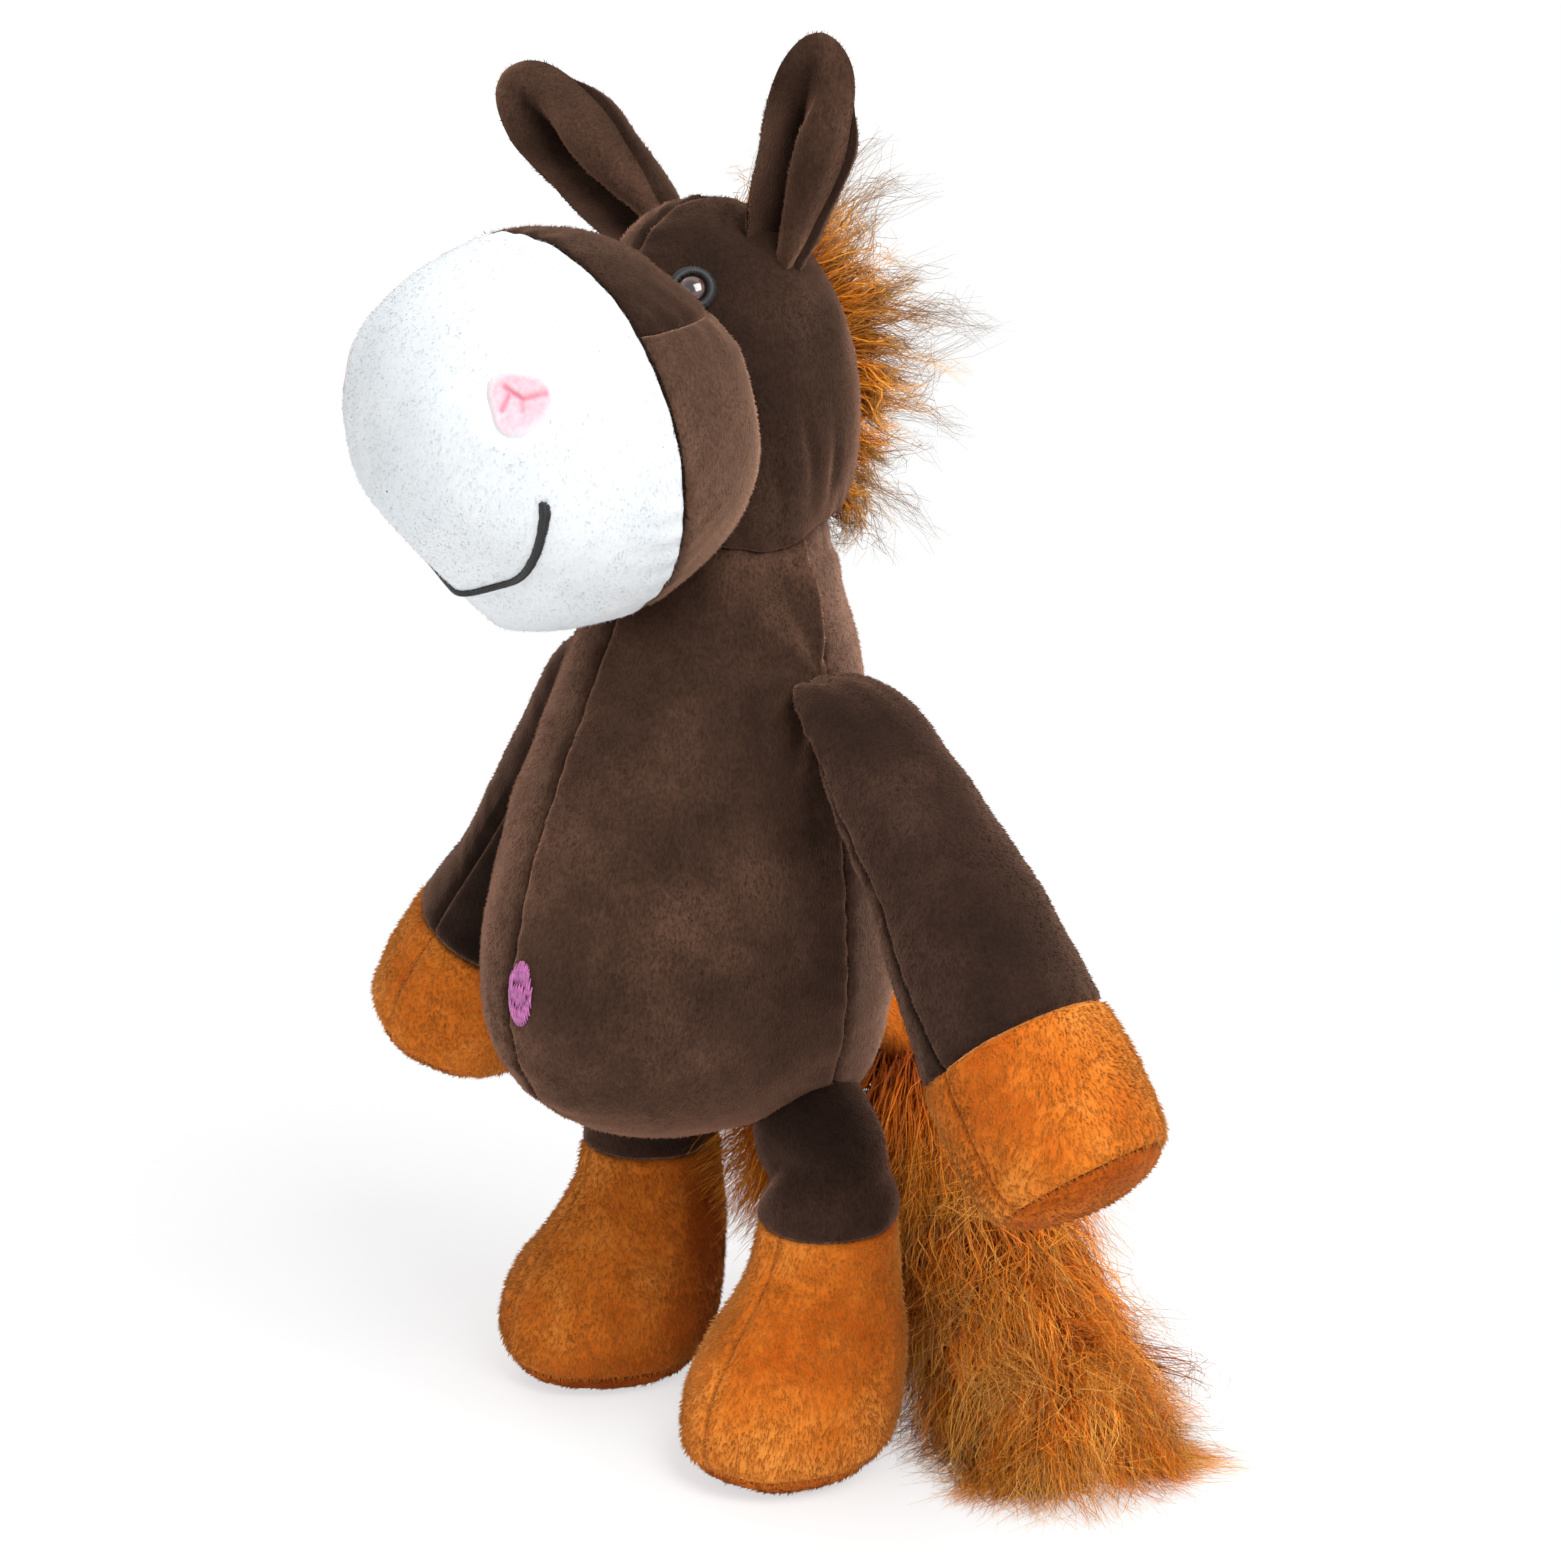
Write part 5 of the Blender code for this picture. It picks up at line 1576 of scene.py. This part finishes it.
def legPieces(name, spec):
    side = spec["side"]
    axes = turned("Z", side * spec["toeOut"])
    foot = np.array([side * legShape["hip"][0], legShape["hip"][1], 0])
    made = []

    def shaped(p, n):
        local = (p - foot) @ axes
        z = local[..., 2]
        soft = 0.5 * lumps(p, 34, 101 + side) + 0.22 * lumps(p, 15, 102)
        wave = 72 + 3.5 * np.sin(local[..., 0] * 0.16 + 0.8 * side) - 0.12 * local[..., 1]
        dent = np.exp(-(((local[..., 0] * side + 2) / 9) ** 2)) * (local[..., 1] < 0)
        bulge = 0.4 * np.exp(-(((z - wave - 7) / 5) ** 2))
        soft += bulge - (0.7 + 1.6 * dent) * np.exp(-(((z - wave) / 3.0) ** 2))
        soft += (0.5 + 0.8 * dent) * np.exp(-(((z - wave + 7) / 4.5) ** 2))
        soft -= 2.4 * np.exp(-(((z - 49) / 17) ** 2)) * np.clip(-local[..., 1] / 12, 0, 1)
        out = p + n * soft[..., None]
        up = np.clip((out[..., 2] - 66) / 28, 0, 1)
        out[..., 0] -= side * 8.0 * up**2 * (3 - 2 * up)
        out[..., 2] -= 4.5 * np.clip((out[..., 2] - 84) / 16, 0, 1)
        out[..., 2] = np.maximum(out[..., 2], floorHeight + 0.45)
        return out

    def shade(p):
        return np.clip(0.2 + (p[..., 2] - 68) / 45, 0, 0.75)

    def bootShade(p):
        return 0.3 * (side < 0) + 0.0 * p[..., 2]

    v = np.linspace(0, 1, 76)[:, None]
    t = legRing(legShape["bootTop"]) + (legSurface.last - 0.02 - legRing(legShape["bootTop"])) * v
    angle = np.linspace(math.pi / 2, math.pi / 2 + 2 * math.pi, 130)[None, :] + 0 * t
    local = legSurface(angle, t + 0 * angle)
    p = local @ axes.T + foot
    sleeve = panel(
        f"leg{name.title()}Sleeve",
        p,
        centreLine(p, foot[0], foot[1]),
        # the shaded copy of the brown cloth: painted shade on the leg sleeve
        "shadedBrown",
        ("low", "left", "right"),
        down,
        111 + side,
        shaped,
        pucker=0.2,
        depth=1.0,
        shade=shade,
    )
    dress(sleeve, f"leg_{name}_sleeve", f"leg_{name}_stuffing", slot="brown_plush")
    made += sleeve
    for label, start in (
        ("Outer", front if side > 0 else math.pi / 2), ("Inner", math.pi / 2 if side > 0 else front)
    ):
        v = np.linspace(0, 1, 84)[:, None]
        t = legRing(legShape["sole"]) + (legRing(legShape["bootTop"]) - legRing(legShape["sole"])) * v
        angle = start + math.pi * np.linspace(0, 1, 90)[None, :] + 0 * t
        local = legSurface(angle, t + 0 * angle)
        inside = local.copy()
        inside[..., 0], inside[..., 1] = 0, -6
        p, centre = (g @ axes.T + foot for g in (local, inside))
        boot = panel(
            f"leg{name.title()}Boot{label}",
            p,
            centre,
            "orange",
            ("left", "right", "low", "high"),
            down,
            115 + len(made) + side,
            shaped,
            pucker=0.22,
            depth=1.0,
            shade=bootShade,
        )
        dress(boot, f"leg_{name}_boot_{label.lower()}", slot="orange_plush")
        made += boot
    v = np.linspace(0, 1, 30)[:, None]
    t = 0.05 + (legRing(legShape["sole"]) - 0.05) * v
    angle = np.linspace(0, 2 * math.pi, 130)[None, :] + 0 * t
    local = legSurface(angle, t + 0 * angle)
    inside = local.copy()
    inside[..., 0], inside[..., 1], inside[..., 2] = 0, -12, legShape["sole"] - 1
    p, centre = (g @ axes.T + foot for g in (local, inside))
    sole = panel(
        f"leg{name.title()}Sole",
        p,
        centre,
        "deepOrange",
        ("high",),
        (0.0, -1.0, 0.0),
        121 + side,
        shaped,
        pucker=0.25,
        depth=1.0,
    )
    dress(sole, f"leg_{name}_sole", slot="deep_orange_plush")
    made += sole
    bent(made, (foot[0], foot[1], 96), (foot[0], foot[1], 74))


for name, spec in legs.items():
    legPieces(name, spec)
print("legs sewn")


# Tail

tailShape = {
    "hinge": (0, 46.5, 93),
    "stub": ((0, 0, 0, 8.8), (1.5, 7, -3, 9.0), (6, 13, -9, 9.0), (13, 16, -17, 8.2), (17, 16.5, -21, 7.0)),
    # places from the hinge, headings and lengths of the loose locks
    "loose": (
        ((-2, 2, -8), (-10, -38, -26), 48),
        ((-4, 4, -9), (-18, -32, -26), 48),
        ((0, 0, -9), (-6, -34, -34), 48),
        ((-3, 3, -8), (-14, -36, -20), 46),
        ((2, 10, -10), (2, -13, -26), 36),
        ((12, 4, -12), (24, -26, -22), 44),
        ((14, 10, -12), (18, -20, -24), 40),
        ((12, 6, -14), (11, -19, -30), 40),
    ),
    "flow": (
        (-12.0, -11, 9.0, 9.0),
        (-6.5, -5.5, 2.0, 14.0),
        (1, -5, -9, 19),
        (13, -8, -25, 22.5),
        (26, -10.5, -40, 23.5),
        (39, -13, -49, 21),
        (50, -15, -54.5, 15),
        (57, -17, -58, 8),
    ),
}
furHair = hairMaterial(
    "furHair", (0.6, 0.235, 0.03), (0.9, 0.46, 0.08), (0.93, 0.6, 0.19), (0.55, 1.1), 0.05, 0.5
)
furPale = hairMaterial(
    "furPale", (0.84, 0.43, 0.09), (0.93, 0.59, 0.18), (0.95, 0.73, 0.38), (0.7, 1.08), 0.05, 0.5
)
furTip = hairMaterial(
    "furWisps", (0.85, 0.5, 0.13), (0.68, 0.46, 0.2), (0.48, 0.4, 0.3), (0.7, 1.1), 0.1, 0.5
)


def tubeGrid(path, rows, columns):
    # A round tube carried along a spline through the path's points, whose radius is their fourth value
    line = smoothLine(np.asarray(path, float), rows)
    centre, radius = line[:, :3], line[:, 3]
    run = unit(np.gradient(centre, axis=0))
    across = unit(np.cross(run, [0, 1.0, 0]))
    other = np.cross(run, across)
    angle = np.linspace(0, 2 * math.pi, columns)
    ring = across[:, None] * np.cos(angle)[None, :, None] + other[:, None] * np.sin(angle)[None, :, None]
    return centre[:, None] + ring * radius[:, None, None], np.repeat(centre[:, None], columns, axis=1)


hinge = np.array(tailShape["hinge"], float)
stub = np.array(tailShape["stub"], float)
stub[:, :3] += hinge
p, centre = tubeGrid(stub, 60, 60)
made = panel("tailRoot", p, centre, "orange", (), (0.3, 0.6, -0.7), 131, None)
dress(made, "tail_root", slot="orange_plush")
bent(made, hinge + (0, -2, 0), hinge + (1, 9, -4))

flow = np.array(tailShape["flow"], float)
flow[:, :3] += stub[-1, :3]


def alongFlow(line, t):
    # Centre, heading and radius of the brush at the shares t of its length
    rows = smoothLine(line, 240)
    run = unit(np.gradient(rows[:, :3], axis=0))
    where = np.clip(t, 0, 1) * 239
    index = np.arange(240)
    centre = np.stack([np.interp(where, index, rows[:, k]) for k in range(3)], axis=-1)
    ahead = unit(np.stack([np.interp(where, index, run[:, k]) for k in range(3)], axis=-1))
    return centre, ahead, np.interp(where, index, rows[:, 3])


def shag(root, way, length, lock, locks, seed, gather, curl, drop, steps=9):
    # Curls grow from each root along its own way, are drawn to the middle of their lock, and sink
    r = np.random.default_rng(seed)
    count = len(root)
    s = np.linspace(0, 1, steps)[None, :, None]
    total = np.maximum(np.bincount(lock, minlength=locks), 1)[:, None]
    middles = [
        np.stack([np.bincount(lock, v[:, k], locks) for k in range(3)], axis=1) / total
        for v in (root, way, length * np.ones((1, 3)))
    ]
    swing = unit(r.normal(size=(locks, 3)))
    phase = r.random((locks, 1, 1)) * 6.3
    own = root[:, None] + way[:, None] * length[:, None] * s
    joint = (
        middles[0][:, None] + (middles[1][:, None] + 0.35 * swing[:, None] * s) * middles[2][:, None] * s
    )[lock]
    p = own + (joint - own) * gather * s**1.3
    slow = np.sin(s * 7 + phase[lock]) * swing[lock][:, None]
    fast = np.sin(
        s * r.uniform(5, 13, (count, 1, 1)) + r.random((count, 1, 1)) * 6.3
    ) * unit(r.normal(size=(count, 1, 3)))
    p = p + curl * s * (slow + 0.8 * fast)
    p[..., 2] -= drop * s[..., 0] ** 2 * length[:, 0, None] / 25
    low = floorHeight + 0.8 - p[..., 2]
    under = np.clip(low, 0, None)
    p[..., 2] = np.where(low > 0, floorHeight + 0.8 + 0.12 * np.sin(under * 3), p[..., 2])
    aside = way[:, None, :2] / np.maximum(np.linalg.norm(way[:, None, :2], axis=-1, keepdims=True), 0.2)
    p[..., :2] += aside * under[..., None] * 0.35
    return p


def tailHair(
    name, count, material, seed, core, spread, length, curl, width, gather=0.55, low=0.0, high=1.0
):
    r = np.random.default_rng(seed)
    t = low + (high - low) * r.random(count) ** 0.9
    angle = r.random(count) * 2 * math.pi
    centre, ahead, radius = alongFlow(flow, t)
    across = unit(np.cross(ahead, np.array([0, 1.0, 0])))
    other = np.cross(ahead, across)
    out = across * np.cos(angle)[:, None] + other * np.sin(angle)[:, None]
    locks = 190
    cell = np.floor(t * 13 + r.normal(0, 0.25, count)).astype(int).clip(0, 13) * 13
    lock = (
        cell + np.floor((angle / (2 * math.pi) + r.normal(0, 0.012, count)) % 1 * 13).astype(int)
    ).clip(0, locks - 1)
    tuftWay = np.random.default_rng(seed + 7).normal(0, 1, (locks, 3))[lock]
    way = unit(
        out * spread
        + ahead * 0.55
        + np.array([0, 0, -0.5])
        + 0.22 * tuftWay
        + r.normal(0, 0.12, (count, 3))
    )
    root = centre + out * (radius * core)[:, None]
    reach = (r.uniform(*length, count) * (0.85 + 0.2 * np.clip(t / 0.25, 0, 1)))[:, None, None]
    p = shag(root, way, reach[:, :, 0], lock, locks, seed + 3, gather, curl, 5.0)
    tone = np.clip(0.5 + 0.22 * tuftWay[:, 0] + r.normal(0, 0.17, count), 0.02, 0.98)
    return strands(
        name, p, r.uniform(*width, count), tone, material, unit(out + r.normal(0, 0.5, (count, 3)))
    )


# Painted shade: a dark ochre tube inside the brush stands for the shade deep among the tail's hairs
coreLine = flow.copy()
coreLine[:, 3] *= 0.74
coreLine[-1, 3] = 2.0
p, centre = tubeGrid(coreLine, 90, 80)
n = normalsOf(p, centre)
p = p + n * (1.2 * lumps(p, 13, 138) + 0.6 * lumps(p, 5, 139))[..., None]
p[..., 2] = np.maximum(p[..., 2], floorHeight + 0.3)
furShadeCloth = plushCloth(
    "furShadeCloth",
    (0.44, 0.18, 0.03),
    (0.6, 0.28, 0.05),
    (0.72, 0.39, 0.09),
    0.05,
    (0.9, 0.6, 0.3),
    0.8,
    0.6,
    9,
    1.4,
    (1, 1, 4),
)
core = gridPiece("tailFurCore", p, n, furShadeCloth)
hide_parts("tail_fur")


def looseTufts(name, material, seed, width):
    # Locks that leave the stub sideways: between the legs, and along the back of the near one
    r = np.random.default_rng(seed)
    count = 500 * len(tailShape["loose"])
    group = np.arange(count) % len(tailShape["loose"])
    place, heading = (np.array([spot[k] for spot in tailShape["loose"]], float)[group] for k in (0, 1))
    root = hinge + place + r.normal(0, 2.6, (count, 3))
    way = unit(unit(heading) + r.normal(0, 0.2, (count, 3)))
    lock = group * 6 + np.argmax(way @ unit(r.normal(size=(3, 6))), axis=1)
    length = np.array([spot[2] for spot in tailShape["loose"]], float)[group][:, None]
    p = shag(
        root,
        way,
        length * r.uniform(0.6, 1.05, (count, 1)),
        lock,
        6 * len(tailShape["loose"]),
        seed + 3,
        0.4,
        3.6,
        5.0,
        11,
    )
    return strands(
        name, p, r.uniform(*width, count), np.clip(r.normal(0.5, 0.2, count), 0.02, 0.98), material
    )


brush = [
    core,
    tailHair("tailFurCrown", 3800, furHair, 145, 0.8, 0.9, (16, 26), 3.0, (0.22, 0.42), 0.45, 0.0, 0.25),
    tailHair("tailFurUnder", 8600, furHair, 141, 0.7, 0.42, (16, 27), 3.4, (0.26, 0.46)),
    tailHair("tailFurOver", 8800, furHair, 142, 0.76, 0.5, (16, 30), 5.4, (0.18, 0.34), 0.4),
    tailHair("tailFurPale", 6000, furPale, 143, 0.78, 0.55, (16, 30), 6.0, (0.15, 0.28), 0.3),
    tailHair("tailFurWisps", 1300, furTip, 144, 0.78, 0.66, (18, 30), 4.6, (0.13, 0.24), 0.25, 0.1),
    looseTufts("tailFurLoose", furHair, 146, (0.22, 0.42)),
]
for obj in brush:
    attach(obj, "tail")
print("tail combed")


# Mane

maneShape = {"from": 20, "to": 138, "half": 5.0, "centre": (0, 4, 246.0)}


def maneHair(name, count, material, seed, length, curl, width, gather, thin):
    # Hairs stand on a strip from the crown down the nape and fan out in locks, sparse at the crown
    r = np.random.default_rng(seed)
    share = r.random(count)
    share = np.where((share < 0.3) & (r.random(count) < thin), 0.3 + 0.7 * r.random(count), share)
    turn = np.radians(maneShape["from"] + (maneShape["to"] - maneShape["from"]) * share)
    x = r.uniform(-1, 1, count)
    out = unit(np.stack([0.1 * x, np.sin(turn), np.cos(turn)], axis=-1))
    start = np.array(maneShape["centre"]) + np.stack(
        [x * maneShape["half"], 0 * x, 0 * x], axis=-1
    ) + out * 60
    root = onSurface([headPieces[0], headPieces[2]], start - out * 25, -out) - out * 0.5
    locks = 58
    lock = np.clip(np.floor(share * 29 + r.normal(0, 0.14, count)).astype(int) * 2 + (x > 0), 0, locks - 1)
    tuftWay = np.random.default_rng(seed + 7).normal(0, 1, (locks, 3))[lock]
    fan = np.stack(
        [
            x * 0.35 + 0.12,
            0 * x,
            -0.12 * np.sin(turn) + 0.35 * np.clip(share / 0.75 - 1, 0, 1) - 0.3 * np.clip(share - 0.9, 0, 1),
        ],
        axis=-1,
    )
    way = unit(out + fan + 0.2 * tuftWay + r.normal(0, 0.1, (count, 3)))
    reach = r.uniform(*length, count) * (0.62 + 0.38 * np.sin(np.clip(share * 1.25, 0, 1) * math.pi))
    p = shag(root, way, reach[:, None], lock, locks, seed + 3, gather, curl, 3.0)
    tone = np.clip(0.5 + 0.16 * tuftWay[:, 0] + r.normal(0, 0.17, count), 0.02, 0.98)
    return strands(
        name,
        p,
        r.uniform(*width, count),
        tone,
        material,
        unit(np.cross(way, out) + r.normal(0, 0.7, (count, 3))),
    )


maneTone = hairMaterial(
    "maneHair", (0.72, 0.37, 0.06), (0.88, 0.57, 0.17), (0.72, 0.55, 0.32), (0.6, 1.1), 0.05, 0.5
)
mane = [
    maneHair("maneFur", 2500, maneTone, 151, (11, 23), 3.0, (0.2, 0.36), 0.85, 0.8),
    maneHair("manePale", 1300, furPale, 152, (15, 31), 4.2, (0.16, 0.3), 0.9, 0.6),
    maneHair("maneWisps", 1100, furTip, 153, (24, 39), 5.5, (0.14, 0.24), 0.9, 0.0),
]
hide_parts("mane_fur", "mane_strip")
for obj in mane:
    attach(obj, "head")
print("mane combed")


# The nodes that stay as they are


def plainCloth(name, colour, roughness=0.9):
    made, nodes, links, shader = shaderFor(name, roughness, 0.2, 0.4, dyed(colour, 1.1), 0.2)
    tone = ramp(
        nodes,
        links,
        noiseOn(nodes, links, 1.6, detail=3).outputs["Fac"],
        ((0.3, dyed(colour, 0.85)), (0.7, dyed(colour, 1.05))),
    )
    links.new(tone.outputs["Color"], shader.inputs["Base Color"])
    return made


kept = {
    "neck_wad": plainCloth("fibrefill", (0.9, 0.89, 0.86)),
    "eye_washer_left": plainCloth("washerPlastic", (0.85, 0.86, 0.88), 0.4),
}
kept["eye_washer_right"] = kept["eye_washer_left"]
for node, made in kept.items():
    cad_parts[node].data.materials.clear()
    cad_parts[node].data.materials.append(made)


# Floor, light and camera


def paperWhite():
    # The floor takes the object's shadow, and shows white where a camera or mirror ray meets it far off
    made = bpy.data.materials.new("paperFloor")
    made.use_nodes = True
    nodes, links = made.node_tree.nodes, made.node_tree.links
    shader = nodes["Principled BSDF"]
    shader.inputs["Base Color"].default_value = linear((0.97, 0.97, 0.97))
    shader.inputs["Roughness"].default_value = 0.95
    glow = nodes.new("ShaderNodeEmission")
    glow.inputs["Color"].default_value = (1, 1, 1, 1)
    path = nodes.new("ShaderNodeLightPath")
    mixNode = nodes.new("ShaderNodeMixShader")
    coords = nodes.new("ShaderNodeTexCoord")
    distance = nodes.new("ShaderNodeVectorMath")
    distance.operation = "LENGTH"
    links.new(coords.outputs["Object"], distance.inputs[0])
    fade = nodes.new("ShaderNodeMapRange")
    for socket, value in (("From Min", 0.08), ("From Max", 0.55), ("To Min", 0.62), ("To Max", 1.0)):
        fade.inputs[socket].default_value = value
    links.new(distance.outputs["Value"], fade.inputs["Value"])
    share = nodes.new("ShaderNodeMath")
    share.operation = "MULTIPLY"
    links.new(path.outputs["Is Camera Ray"], share.inputs[0])
    links.new(fade.outputs["Result"], share.inputs[1])
    links.new(share.outputs["Value"], mixNode.inputs["Fac"])
    links.new(shader.outputs["BSDF"], mixNode.inputs[1])
    links.new(glow.outputs["Emission"], mixNode.inputs[2])
    links.new(mixNode.outputs["Shader"], nodes["Material Output"].inputs["Surface"])
    return made


bpy.ops.mesh.primitive_plane_add(size=60, location=(0, 0, -0.0002))
floor = bpy.context.object
floor.name = "floor"
floor.data.materials.append(paperWhite())

world = bpy.data.worlds.new("studio")
bpy.context.scene.world = world
world.use_nodes = True
worldNodes, worldLinks = world.node_tree.nodes, world.node_tree.links
plain = worldNodes["Background"]
plain.inputs["Color"].default_value = (1, 1, 1, 1)
plain.inputs["Strength"].default_value = 0.48
bright = worldNodes.new("ShaderNodeBackground")
bright.inputs["Color"].default_value = (1, 1, 1, 1)
bright.inputs["Strength"].default_value = 1.0
rayKind = worldNodes.new("ShaderNodeLightPath")
most = worldNodes.new("ShaderNodeMath")
most.operation = "MAXIMUM"
both = worldNodes.new("ShaderNodeMath")
both.operation = "MAXIMUM"
worldLinks.new(rayKind.outputs["Is Camera Ray"], most.inputs[0])
worldLinks.new(rayKind.outputs["Is Glossy Ray"], most.inputs[1])
worldLinks.new(most.outputs["Value"], both.inputs[0])
worldLinks.new(rayKind.outputs["Is Transmission Ray"], both.inputs[1])
mixWorld = worldNodes.new("ShaderNodeMixShader")
worldLinks.new(both.outputs["Value"], mixWorld.inputs["Fac"])
worldLinks.new(plain.outputs["Background"], mixWorld.inputs[1])
worldLinks.new(bright.outputs["Background"], mixWorld.inputs[2])
worldLinks.new(mixWorld.outputs["Shader"], worldNodes["World Output"].inputs["Surface"])

cameraShape = {
    "aim": (-21.1, 39.6, 145.2),
    "toward": (0.736, -0.618, 0.276),
    "up": (-0.211, 0.177, 0.961),
    "distance": 848,
    "lens": 84.9,
}
toward = Vector(cameraShape["toward"]).normalized()
up = Vector(cameraShape["up"])
right = up.cross(toward).normalized()
up = toward.cross(right)
aim = Vector(placed(cameraShape["aim"])[0])
camera = bpy.data.cameras.new("camera")
camera.lens, camera.sensor_width = cameraShape["lens"], 36
seen = bpy.data.objects.new("camera", camera)
bpy.context.scene.collection.objects.link(seen)
turn = Matrix((right, up, toward)).transposed().to_4x4()
seen.matrix_world = Matrix.Translation(aim + toward * cameraShape["distance"] / 1000) @ turn
bpy.context.scene.camera = seen


def softbox(name, offset, size, power):
    # A square lamp at that offset from the aim, in metres along right, up and toward the camera
    lamp = bpy.data.lights.new(name, "AREA")
    lamp.size, lamp.energy = size, power
    obj = bpy.data.objects.new(name, lamp)
    bpy.context.scene.collection.objects.link(obj)
    flatToward = Vector((toward.x, toward.y, 0)).normalized()
    obj.location = aim + right * offset[0] + Vector((0, 0, 1)) * offset[1] + flatToward * offset[2]
    obj.rotation_euler = (obj.location - aim).to_track_quat("Z", "Y").to_euler()


softbox("keyLight", (0.45, 1.05, 0.75), 0.8, 20.5)
softbox("fillLight", (-0.9, 0.45, 0.8), 1.2, 3.5)
softbox("backLight", (-0.5, 0.9, -0.9), 0.9, 6)
bpy.context.scene.view_settings.view_transform = "Standard"
print("studio lit")
